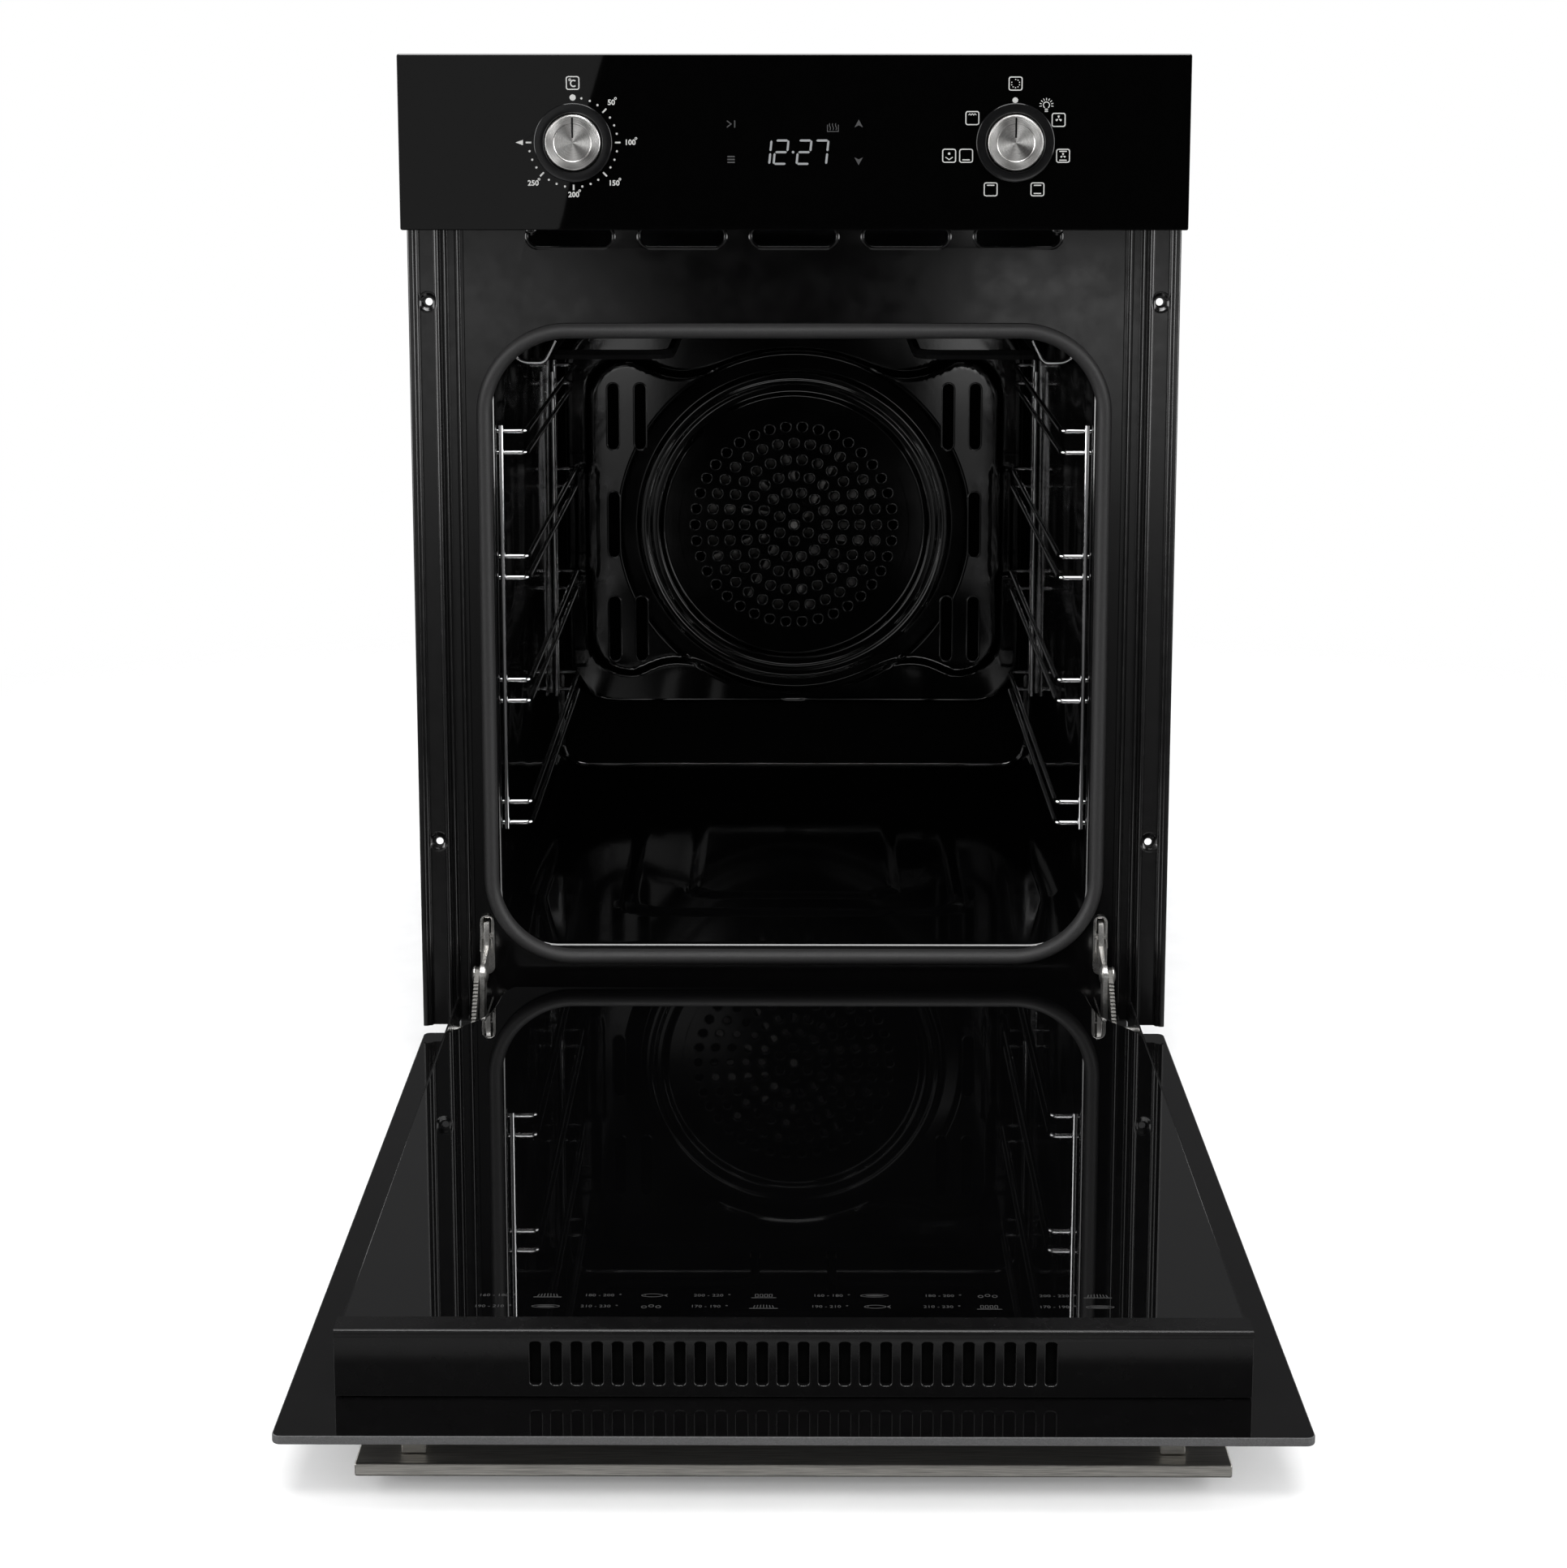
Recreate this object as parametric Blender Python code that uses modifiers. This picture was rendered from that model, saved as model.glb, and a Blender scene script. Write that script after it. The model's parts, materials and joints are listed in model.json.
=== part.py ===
"""Built-in wall oven, 450 mm wide and 595 mm high at the front, door shown fully open.

Frame: X to the right, Y into the cabinet, Z up, in metres. The origin is the middle of the front
lower edge of the cabinet niche: y = 0 is the cabinet's front plane and z = 0 the shelf it stands on.
The door lies in its open position, which is the rest position of every joint here.
"""
import bpy
import bmesh
import math
from mathutils import Matrix, Vector

MM = 0.001

# ---- driving dimensions ---------------------------------------------------------------------------
FRONT_W = 448 * MM            # width of both front glasses
DOOR_H = 491 * MM             # height of the door glass
PANEL_H = 99 * MM             # height of the control panel glass
BODY_D = 531 * MM             # depth of the body behind the cabinet front
FRONT_PROUD = 28 * MM         # glass faces stand this far in front of the cabinet
GLASS_T = 4 * MM              # front glass thickness
GLASS_CORNER = 4 * MM
SHEET = 1 * MM                # sheet steel thickness
ENAMEL_T = 1.2 * MM           # enamelled front frame
GAP = 0.4 * MM                # clearance between pieces that rest on each other
RUN = 0.3 * MM                # clearance on turning fits

FLANGE = 18 * MM              # side flange outside the body
WALL_SPACE = 29 * MM          # body side to cavity side
FLOOR_SPACE = 57 * MM         # shelf to cavity floor
HEAD_SPACE = 61.5 * MM        # cavity ceiling to the door's top edge
REAR_SPACE = 91 * MM          # cavity rear wall to the rear panel
FRAME_SETBACK = 16 * MM       # cabinet front to the enamelled frame
TRAY_H = 12 * MM              # upturned edge of the base and of the top cover
TOP_DROP = 17.5 * MM          # panel top to body top
CAVITY_CORNER = 34 * MM       # at the cavity's mouth
DEEP_CORNER = 20 * MM         # further in
INSULATION_T = 16 * MM
INSULATION_GAP = 2 * MM
LINER_LIP = 5 * MM            # flange round the cavity's mouth
TONGUE_SPACE = 13 * MM        # room for the hinge tongues behind the frame
ELEMENT_SPACE = 11 * MM       # room for the heater under the floor

DOOR_BOTTOM = -2.5 * MM       # lower edge of the closed door
PANEL_GAP = 5 * MM            # closed door to control panel
PIVOT_SETBACK = -16 * MM      # hinge axis, y
PIVOT_RISE = 14.4 * MM        # hinge axis, z

KNOB_X = 125 * MM
KNOB_R = 15.8 * MM
KNOB_LEN = 22 * MM
KNOB_PROUD = 6 * MM           # knob face in front of the glass, pushed in
KNOB_FACE_T = 3 * MM
BEZEL_W = 5.8 * MM
BEZEL_T = 2 * MM
SHAFT_R = 3 * MM
SWITCH_SIZE = 40 * MM
SWITCH_D = 22 * MM
CARRIER_INSET = 8 * MM

SEAL_W = 9 * MM
SEAL_CORNER = 54 * MM
VENT_W = 50 * MM
VENT_H = 12.5 * MM
VENT_PITCH = 65.5 * MM
VENT_COUNT = 5

DOOR_T = 32 * MM              # raised inner part above the outer glass
RAIL_INSET = 22 * MM          # glass edge to the raised inner part
RAIL_W = 22 * MM
DOOR_GLASS_T = 3.6 * MM
SLOT_COUNT = 26
SLOT_PITCH = 9.07 * MM
SLOT_W = 5.2 * MM
SLOT_H = 20.6 * MM

HANDLE_L = 384 * MM
HANDLE_W = 27 * MM
HANDLE_T = 6 * MM
HANDLE_GAP = 20 * MM
HANDLE_SETBACK = 21 * MM      # door's top edge to the handle
STANDOFF_X = 167 * MM
STANDOFF_W = 11 * MM
STANDOFF_D = 15 * MM

ARM_T = 3 * MM
ARM_NECK = 3.1 * MM           # arm's width behind the closed door's inner glass
PIN_R = 2.4 * MM
LINK_PIN = (-13 * MM, 48 * MM)     # link's pin on the arm, y and z
LINK_END = (-43 * MM, 15 * MM)     # link's free end in the rail, door open

WIRE_R = 2.2 * MM
RACK_PITCH = 75.8 * MM
RACK_RISE = 86.6 * MM         # cavity floor to the lowest upper wire
RACK_HEAD = 50 * MM           # least height above the top wire
RACK_PAIR = 13 * MM
RACK_BOW = 15 * MM            # how far the bows stand off the wall rods
RACK_FRONT = 8 * MM           # enamelled frame to the front rods
RACK_REAR = 55 * MM           # rear rods to the cavity rear wall

BAFFLE_D = 21.5 * MM
BAFFLE_INSET = 7 * MM
BAFFLE_FOOT = 53 * MM
BAFFLE_HEAD = 27 * MM
FAN_R = 70 * MM
FAN_DROP = 8 * MM             # baffle's middle down to the fan's axis
RING_R = 85 * MM
RING_TAIL = 20 * MM           # half the distance between the ring heater's tails
TUBE_R = 3.2 * MM
GRILL_DROP = 14 * MM
GRILL_TAIL_X = 30 * MM
LAMP_X = 112 * MM
LAMP_R = 20 * MM
LAMP_FORWARD = 110 * MM       # lamp's centre in front of the cavity rear wall

# ---- derived positions ----------------------------------------------------------------------------
FRONT_HALF = FRONT_W / 2
BODY_HALF = FRONT_HALF - FLANGE
CAVITY_HALF = BODY_HALF - WALL_SPACE
DOOR_TOP = DOOR_BOTTOM + DOOR_H
PANEL_BOTTOM = DOOR_TOP + PANEL_GAP
PANEL_TOP = PANEL_BOTTOM + PANEL_H
PANEL_MID = (PANEL_BOTTOM + PANEL_TOP) / 2
BODY_TOP = PANEL_TOP - TOP_DROP
FLOOR = FLOOR_SPACE
CEILING = DOOR_TOP - HEAD_SPACE
CAVITY_REAR = BODY_D - REAR_SPACE
FRAME_Y = FRAME_SETBACK
FRAME_BACK = FRAME_Y + ENAMEL_T
WALL_BOTTOM = TRAY_H + GAP
WALL_TOP = BODY_TOP - TRAY_H - 2 * MM - GAP
FRAME_HALF = BODY_HALF - 2.4 * MM
COLUMN_TOP = WALL_TOP - GAP
GLASS_BACK = -FRONT_PROUD + GLASS_T
KNOB_Z = PANEL_MID
KNOB_FRONT = -FRONT_PROUD - KNOB_PROUD
KNOB_REAR = KNOB_FRONT + KNOB_LEN
BAFFLE_LOW = FLOOR + BAFFLE_FOOT
BAFFLE_HIGH = CEILING - BAFFLE_HEAD
BAFFLE_Y = CAVITY_REAR - BAFFLE_D
FAN_Z = (BAFFLE_LOW + BAFFLE_HIGH) / 2 - FAN_DROP
GRILL_Z = CEILING - GRILL_DROP
RING_TAIL_Z = FAN_Z - math.sqrt(RING_R ** 2 - RING_TAIL ** 2)
DOOR_REAR = PIVOT_SETBACK - (DOOR_BOTTOM - PIVOT_RISE)
DOOR_FRONT = DOOR_REAR - DOOR_H
DOOR_FACE = PIVOT_RISE - FRONT_PROUD - PIVOT_SETBACK
DOOR_INSIDE = DOOR_FACE + GLASS_T
RACK_LEVELS = 1 + int((CEILING - FLOOR - RACK_RISE - RACK_HEAD) / RACK_PITCH)
RAIL_OUT = FRONT_HALF - RAIL_INSET
RAIL_IN = RAIL_OUT - RAIL_W
RAIL_TOP = DOOR_INSIDE + DOOR_T - DOOR_GLASS_T - 1.8 * MM
INNER_GLASS_Z = RAIL_TOP + GAP
ARM_END_R = PIVOT_RISE - DOOR_INSIDE - SHEET - 2.5 * RUN - 0.2 * MM   # clears the rail's web
HINGE_X = RAIL_IN + 6.1 * MM
SEAL_IN = CAVITY_HALF + 1.4 * MM
SEAL_FRONT = FRAME_Y - 7.8 * MM

COLLECTION = "wall_oven"
CUTTERS = "cutters"


# ---- scene and materials --------------------------------------------------------------------------
def clear_scene():
    for obj in list(bpy.data.objects):
        bpy.data.objects.remove(obj, do_unlink=True)


def collection(name):
    group = bpy.data.collections.new(name)
    bpy.context.scene.collection.children.link(group)
    return group


def material(name, colour, roughness, metallic=0.0):
    mat = bpy.data.materials.new(name)
    mat.use_nodes = True
    shader = mat.node_tree.nodes["Principled BSDF"]
    shader.inputs["Base Color"].default_value = (*colour, 1.0)
    shader.inputs["Roughness"].default_value = roughness
    shader.inputs["Metallic"].default_value = metallic
    mat.diffuse_color = (*colour, 1.0)
    return mat


def make_materials():
    return {
        "black_glass": material("black_glass", (0.012, 0.012, 0.013), 0.04),
        "clear_glass": material("clear_glass", (0.25, 0.27, 0.27), 0.05),
        "black_enamel": material("black_enamel", (0.010, 0.010, 0.011), 0.12),
        "black_paint": material("black_paint", (0.020, 0.020, 0.021), 0.35),
        "black_plastic": material("black_plastic", (0.020, 0.020, 0.020), 0.5),
        "galvanised": material("galvanised", (0.55, 0.56, 0.57), 0.4, 1.0),
        "zinc": material("zinc", (0.62, 0.61, 0.58), 0.3, 1.0),
        "chrome": material("chrome", (0.80, 0.80, 0.80), 0.12, 1.0),
        "brushed_steel": material("brushed_steel", (0.50, 0.49, 0.47), 0.3, 1.0),
        "element": material("element", (0.16, 0.16, 0.16), 0.45, 0.8),
        "seal": material("seal", (0.035, 0.035, 0.036), 0.8),
        "mineral_wool": material("mineral_wool", (0.62, 0.58, 0.42), 0.95),
        "white_plastic": material("white_plastic", (0.78, 0.77, 0.73), 0.5),
    }


# ---- outlines -------------------------------------------------------------------------------------
def arc(cx, cy, radius, start, end, steps):
    angles = [math.radians(start + (end - start) * i / steps) for i in range(steps + 1)]
    return [(cx + radius * math.cos(a), cy + radius * math.sin(a)) for a in angles]


def rounded_rect(x0, x1, y0, y1, radius, steps=4):
    return (arc(x1 - radius, y0 + radius, radius, -90, 0, steps)
            + arc(x1 - radius, y1 - radius, radius, 0, 90, steps)
            + arc(x0 + radius, y1 - radius, radius, 90, 180, steps)
            + arc(x0 + radius, y0 + radius, radius, 180, 270, steps))


def stadium(cx, cy, width, height, steps=5):
    radius = min(width, height) / 2
    return rounded_rect(cx - width / 2, cx + width / 2, cy - height / 2, cy + height / 2,
                        radius - 0.01 * MM, steps)


def circle(cx, cy, radius, steps=16):
    return arc(cx, cy, radius, 0, 360 - 360 / steps, steps - 1)


def mirrored(points, side):
    return [(side * x, y) for x, y in points]


def smooth_corners(points, radius, steps=3):
    """Rounds the inner corners of an open path of 3-D points with short quadratic bends."""
    points = [Vector(p) for p in points]
    path = [points[0]]
    for before, corner, after in zip(points, points[1:], points[2:]):
        start = corner + (before - corner).normalized() * radius
        end = corner + (after - corner).normalized() * radius
        for i in range(steps + 1):
            t = i / steps
            path.append(start * (1 - t) ** 2 + corner * 2 * t * (1 - t) + end * t ** 2)
    return path + [points[-1]]


# ---- object builders ------------------------------------------------------------------------------
class Builder:
    """Makes named objects in the model's collection, and hidden cutters beside them."""

    def __init__(self):
        self.model = collection(COLLECTION)
        self.cutters = collection(CUTTERS)
        self.materials = make_materials()

    def place(self, name, data, look, parent=None):
        obj = bpy.data.objects.new(name, data)
        self.model.objects.link(obj)
        data.materials.append(self.materials[look])
        if parent is not None:
            obj.parent = parent
            obj.matrix_parent_inverse = Matrix.Translation(parent.location).inverted()
        return obj

    def axis(self, name, location):
        empty = bpy.data.objects.new(name, None)
        empty.location = location
        self.model.objects.link(empty)
        return empty

    def mesh(self, name, bm, look, parent=None):
        data = bpy.data.meshes.new(name)
        bm.to_mesh(data)
        bm.free()
        return self.place(name, data, look, parent)

    def box(self, name, x, y, z, look, parent=None, bevel=0.0):
        bm = bmesh.new()
        bmesh.ops.create_cube(bm, size=1.0)
        size = Vector((x[1] - x[0], y[1] - y[0], z[1] - z[0]))
        middle = Vector((sum(x), sum(y), sum(z))) / 2
        bmesh.ops.transform(bm, matrix=Matrix.Translation(middle) @ Matrix.Diagonal((*size, 1)),
                            verts=bm.verts)
        obj = self.mesh(name, bm, look, parent)
        if bevel:
            self.bevel(obj, bevel)
        return obj

    def rod(self, name, start, end, radius, look, parent=None, steps=16):
        obj = self.mesh(name, rod_mesh(start, end, radius, steps), look, parent)
        smooth(obj)
        return obj

    def plate(self, name, outlines, plane, middle, thickness, look, parent=None):
        """A flat piece with holes, on plane XY, XZ or YZ, centred on the given coordinate."""
        curve = bpy.data.curves.new(name, "CURVE")
        curve.dimensions = "2D"
        curve.fill_mode = "BOTH"
        curve.extrude = thickness / 2
        for outline in outlines:
            spline = curve.splines.new("POLY")
            spline.points.add(len(outline) - 1)
            spline.use_cyclic_u = True
            for point, (u, v) in zip(spline.points, outline):
                point.co = (u, v, 0.0, 1.0)
        obj = self.place(name, curve, look, parent)
        right = math.radians(90)
        obj.rotation_euler = {"XY": (0, 0, 0), "XZ": (right, 0, 0), "YZ": (right, 0, right)}[plane]
        obj.location = {"XY": (0, 0, middle), "XZ": (0, middle, 0), "YZ": (middle, 0, 0)}[plane]
        return obj

    def wire(self, name, points, radius, look, parent=None, sides=2, closed=False):
        curve = bpy.data.curves.new(name, "CURVE")
        curve.dimensions = "3D"
        curve.bevel_depth = radius
        curve.bevel_resolution = sides
        curve.use_fill_caps = True
        spline = curve.splines.new("POLY")
        spline.points.add(len(points) - 1)
        spline.use_cyclic_u = closed
        for point, place in zip(spline.points, points):
            point.co = (*place, 1.0)
        return self.place(name, curve, look, parent)

    def sheet(self, name, profile, axis, start, end, thickness, look, parent=None):
        """A bent sheet: an open profile of its middle surface, run along an axis."""
        bm = bmesh.new()
        rows = [[bm.verts.new(on_axis(axis, u, v, w)) for u, v in profile] for w in (start, end)]
        for i in range(len(profile) - 1):
            bm.faces.new((rows[0][i], rows[0][i + 1], rows[1][i + 1], rows[1][i]))
        obj = self.mesh(name, bm, look, parent)
        self.solidify(obj, thickness)
        return obj

    def pan(self, name, loops, thickness, look, parent=None, filled=True):
        """A pressed shell through loops of equal point counts, the last one filled."""
        bm = bmesh.new()
        rings = [[bm.verts.new(p) for p in loop] for loop in loops]
        for ring, following in zip(rings, rings[1:]):
            bridge(bm, ring, following)
        if filled:
            bm.faces.new(rings[-1])
        bmesh.ops.recalc_face_normals(bm, faces=bm.faces)
        obj = self.mesh(name, bm, look, parent)
        self.solidify(obj, thickness)
        return obj

    def ring(self, name, loops, look, parent=None):
        """A closed ring through section loops, joined round to the first."""
        bm = bmesh.new()
        rings = [[bm.verts.new(p) for p in loop] for loop in loops]
        for ring, following in zip(rings, rings[1:] + rings[:1]):
            bridge(bm, ring, following)
        bmesh.ops.recalc_face_normals(bm, faces=bm.faces)
        return self.mesh(name, bm, look, parent)

    def turned(self, name, profile, centre, axis, look, parent=None, steps=24):
        """A turned piece. The profile is (radius, height) from top to bottom on its outer side."""
        bm = bmesh.new()
        verts = [bm.verts.new((radius, 0, height)) for radius, height in profile]
        closed = profile[0][0] > 0 and profile[-1][0] > 0
        for first, second in zip(verts, verts[1:] + (verts[:1] if closed else [])):
            bm.edges.new((first, second))
        obj = self.mesh(name, bm, look, parent)
        screw = obj.modifiers.new("turn", "SCREW")
        screw.steps = steps
        screw.render_steps = steps
        screw.use_merge_vertices = True
        screw.merge_threshold = 0.00001
        right = math.radians(90)
        obj.rotation_euler = {"Z": (0, 0, 0), "-Y": (right, 0, 0), "X": (0, right, 0)}[axis]
        obj.location = centre
        return obj

    def solidify(self, obj, thickness):
        shell = obj.modifiers.new("thickness", "SOLIDIFY")
        shell.thickness = thickness
        shell.offset = 0.0
        shell.use_even_offset = True

    def bevel(self, obj, width, segments=2):
        edge = obj.modifiers.new("edges", "BEVEL")
        edge.width = width
        edge.segments = segments
        edge.limit_method = "ANGLE"

    def tool(self, name, bm):
        data = bpy.data.meshes.new(name)
        bm.to_mesh(data)
        bm.free()
        obj = bpy.data.objects.new(name, data)
        self.cutters.objects.link(obj)
        obj.hide_render = True
        obj.display_type = "WIRE"
        return obj

    def combine(self, obj, tool, operation):
        change = obj.modifiers.new(operation.lower(), "BOOLEAN")
        change.operation = operation
        change.object = tool
        change.solver = "EXACT"

    def cut(self, obj, meshes):
        self.combine(obj, self.tool(f"{obj.name}_cutter", joined(meshes)), "DIFFERENCE")

    def add(self, obj, meshes):
        self.combine(obj, self.tool(f"{obj.name}_addition", joined(meshes)), "UNION")


def on_axis(axis, u, v, w):
    return {"X": (w, u, v), "Y": (u, w, v), "Z": (u, v, w)}[axis]


def bridge(bm, ring, following):
    for i in range(len(ring)):
        j = (i + 1) % len(ring)
        bm.faces.new((ring[i], ring[j], following[j], following[i]))


def smooth(obj):
    obj.data.shade_smooth()
    obj.data.set_sharp_from_angle(angle=math.radians(40))


def joined(meshes):
    whole = bmesh.new()
    for bm in meshes:
        part = bpy.data.meshes.new("piece")
        bm.to_mesh(part)
        bm.free()
        whole.from_mesh(part)
        bpy.data.meshes.remove(part)
    return whole


def rod_mesh(start, end, radius, steps=12):
    start, end = Vector(start), Vector(end)
    bm = bmesh.new()
    bmesh.ops.create_cone(bm, cap_ends=True, segments=steps, radius1=radius, radius2=radius,
                          depth=(end - start).length)
    turn = Vector((0, 0, 1)).rotation_difference(end - start).to_matrix().to_4x4()
    bmesh.ops.transform(bm, matrix=Matrix.Translation((start + end) / 2) @ turn, verts=bm.verts)
    return bm


def prism_mesh(outline, axis, start, end):
    """A solid of an outline run along an axis, used as a cutter."""
    bm = bmesh.new()
    rings = [[bm.verts.new(on_axis(axis, u, v, w)) for u, v in outline] for w in (start, end)]
    bridge(bm, *rings)
    bm.faces.new(rings[0])
    bm.faces.new(list(reversed(rings[1])))
    bmesh.ops.recalc_face_normals(bm, faces=bm.faces)
    return bm


def tube_mesh(points, radius, steps=6):
    """A bent wire as a closed mesh, mitred at its corners."""
    points = [Vector(p) for p in points]
    bm = bmesh.new()
    rings = []
    for i, point in enumerate(points):
        before = (point - points[i - 1]).normalized() if i else None
        after = (points[i + 1] - point).normalized() if i + 1 < len(points) else None
        along = ((before or after) + (after or before)).normalized()
        up = Vector((0, 0, 1)) if abs(along.z) < 0.9 else Vector((1, 0, 0))
        side = along.cross(up).normalized()
        lift = side.cross(along)
        angles = [2 * math.pi * (k + 0.5) / steps for k in range(steps)]
        rings.append([bm.verts.new(point + radius * (side * math.cos(a) + lift * math.sin(a)))
                      for a in angles])
    for ring, following in zip(rings, rings[1:]):
        bridge(bm, ring, following)
    bm.faces.new(list(reversed(rings[0])))
    bm.faces.new(rings[-1])
    bmesh.ops.recalc_face_normals(bm, faces=bm.faces)
    return bm


def loop_at(outline, y):
    return [(x, y, z) for x, z in outline]


# ---- body shell -----------------------------------------------------------------------------------
def tray_loops(outer_z, rim_z):
    """Loops of a tray that spans the body, from its rim to its flat face."""
    half = BODY_HALF - SHEET / 2
    front = FRAME_BACK + GAP + SHEET / 2
    outline = rounded_rect(-half, half, front, BODY_D - SHEET / 2, 2 * MM, 2)
    return [[(x, y, rim_z) for x, y in outline], [(x, y, outer_z) for x, y in outline]]


def build_shell(b):
    half = BODY_HALF - SHEET / 2
    slots = [stadium(x * 60 * MM, 0.8 * BODY_D, 40 * MM, 6 * MM, 1) for x in (-2, -1, 0, 1, 2)]
    base = b.pan("base_panel", tray_loops(SHEET / 2, TRAY_H), SHEET, "galvanised")
    b.cut(base, [prism_mesh(s, "Z", -5 * MM, 5 * MM) for s in slots])
    top = b.pan("top_cover", tray_loops(BODY_TOP - SHEET / 2, BODY_TOP - TRAY_H - 2 * MM), SHEET,
                "galvanised")
    b.cut(top, [prism_mesh(s, "Z", BODY_TOP - 5 * MM, BODY_TOP + 5 * MM) for s in slots])
    front = FRAME_BACK + GAP + SHEET / 2
    rear = BODY_D - SHEET - GAP - SHEET / 2
    for side, word in ((-1, "left"), (1, "right")):
        profile = [(half - 15 * MM, front), (half, front), (half, rear), (half - 10 * MM, rear)]
        b.sheet(f"side_panel_{word}", mirrored(profile, side), "Z", WALL_BOTTOM, WALL_TOP, SHEET,
                "galvanised")
    build_rear_panel(b)
    build_front_frame(b)
    for side, word in ((-1, "left"), (1, "right")):
        build_column(b, side, word)


def build_rear_panel(b):
    half = BODY_HALF - 2 * MM
    outlines = [rounded_rect(-half, half, WALL_BOTTOM, WALL_TOP, 3 * MM, 2)]
    for row in range(5):
        for column in (-1, 0, 1):
            outlines.append(stadium(column * 60 * MM, FAN_Z + (row - 2) * 22 * MM, 44 * MM, 6 * MM, 1))
    b.plate("rear_panel", outlines, "XZ", BODY_D - SHEET / 2, SHEET, "galvanised")


def build_front_frame(b):
    outlines = [rounded_rect(-FRAME_HALF, FRAME_HALF, 2 * MM, COLUMN_TOP, 2 * MM, 2),
                rounded_rect(-CAVITY_HALF - SHEET, CAVITY_HALF + SHEET, FLOOR - SHEET,
                             CEILING, CAVITY_CORNER, 6)]
    vent_z = DOOR_TOP - 1.3 * MM
    for i in range(VENT_COUNT):
        outlines.append(stadium((i - (VENT_COUNT - 1) / 2) * VENT_PITCH, vent_z, VENT_W, VENT_H))
    for side in (-1, 1):
        outlines.append(rounded_rect(side * HINGE_X - 2.6 * MM, side * HINGE_X + 2.6 * MM,
                                     PIVOT_RISE + 42 * MM, PIVOT_RISE + 61 * MM, 1 * MM, 2))
    b.plate("front_frame", outlines, "XZ", FRAME_Y + ENAMEL_T / 2, ENAMEL_T, "black_enamel")


def column_profile():
    """Middle surface of the rolled side column, from its outer rim to the enamelled frame."""
    rim = FRONT_HALF - 0.6 * MM
    body = BODY_HALF
    return [(rim, -0.4 * MM), (rim, -2.6 * MM), (rim - 4.2 * MM, -2.6 * MM),
            (rim - 5 * MM, -SHEET / 2), (body + 1.6 * MM, -SHEET / 2), (body - 0.8 * MM, 4.4 * MM),
            (body - 2.8 * MM, 4.4 * MM), (body - 3.2 * MM, FRAME_Y - 5.6 * MM),
            (body - 9.4 * MM, FRAME_Y - 5.6 * MM), (body - 9.8 * MM, FRAME_Y - 1.2 * MM),
            (body - 12.2 * MM, FRAME_Y - 1.2 * MM)]


def build_column(b, side, word):
    column = b.sheet(f"side_column_{word}", mirrored(column_profile(), side), "Z", TRAY_H, COLUMN_TOP,
                     SHEET, "black_paint")
    x = side * (BODY_HALF + 6.3 * MM)
    heights = (FLOOR + 69.3 * MM, CEILING + 23.3 * MM)
    b.cut(column, [rod_mesh((x, -8 * MM, z), (x, 8 * MM, z), 2.2 * MM) for z in heights])


# ---- cavity ---------------------------------------------------------------------------------------
def build_cavity(b):
    skin = SHEET / 2
    half = CAVITY_HALF + skin
    low, high = FLOOR - skin, CEILING + skin
    lip = FRAME_BACK + GAP + skin
    flange = rounded_rect(-half - LINER_LIP, half + LINER_LIP, low - LINER_LIP, high + LINER_LIP,
                          CAVITY_CORNER, 4)
    mouth = rounded_rect(-half, half, low, high, CAVITY_CORNER, 4)
    deep = rounded_rect(-half, half, low, high, DEEP_CORNER, 4)
    liner = b.pan("cavity_liner", [loop_at(flange, lip), loop_at(mouth, lip),
                                   loop_at(deep, lip + 90 * MM), loop_at(deep, CAVITY_REAR + skin)],
                  SHEET, "black_enamel")
    blanket = build_insulation(b)
    for obj in (liner, blanket):
        b.cut(obj, service_bores(4 * MM))
    build_heaters(b)
    build_fan(b)
    build_lamp(b)
    build_seal(b)
    for side, word in ((-1, "left"), (1, "right")):
        build_rack(b, side, word)
        build_hanger(b, side, word)


def build_insulation(b):
    middle = INSULATION_GAP + SHEET + INSULATION_T / 2
    half = CAVITY_HALF + middle
    low = FLOOR - ELEMENT_SPACE - middle + INSULATION_GAP
    high = CEILING + middle
    outline = rounded_rect(-half, half, low, high, DEEP_CORNER + INSULATION_T / 2, 3)
    rear = CAVITY_REAR + middle
    return b.pan("insulation_blanket", [loop_at(outline, FRAME_BACK + TONGUE_SPACE), loop_at(outline, rear)],
                 INSULATION_T, "mineral_wool")


def service_bores(clearance):
    """Holes through the rear wall and the ceiling for the shaft, heater tails and lamp."""
    deep = CAVITY_REAR + INSULATION_T + 20 * MM
    near = CAVITY_REAR - 10 * MM
    bores = [rod_mesh((0, near, FAN_Z), (0, deep, FAN_Z), SHAFT_R + clearance)]
    for side in (-1, 1):
        x = side * GRILL_TAIL_X
        bores.append(rod_mesh((x, near, GRILL_Z), (x, deep, GRILL_Z), TUBE_R + 1 * MM))
        x = side * RING_TAIL
        bores.append(rod_mesh((x, near, RING_TAIL_Z), (x, deep, RING_TAIL_Z), TUBE_R + 1 * MM))
    lamp_y = CAVITY_REAR - LAMP_FORWARD
    bores.append(rod_mesh((LAMP_X, lamp_y, CEILING - 10 * MM),
                          (LAMP_X, lamp_y, CEILING + 40 * MM), LAMP_R + 1 * MM, 24))
    return bores


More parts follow.
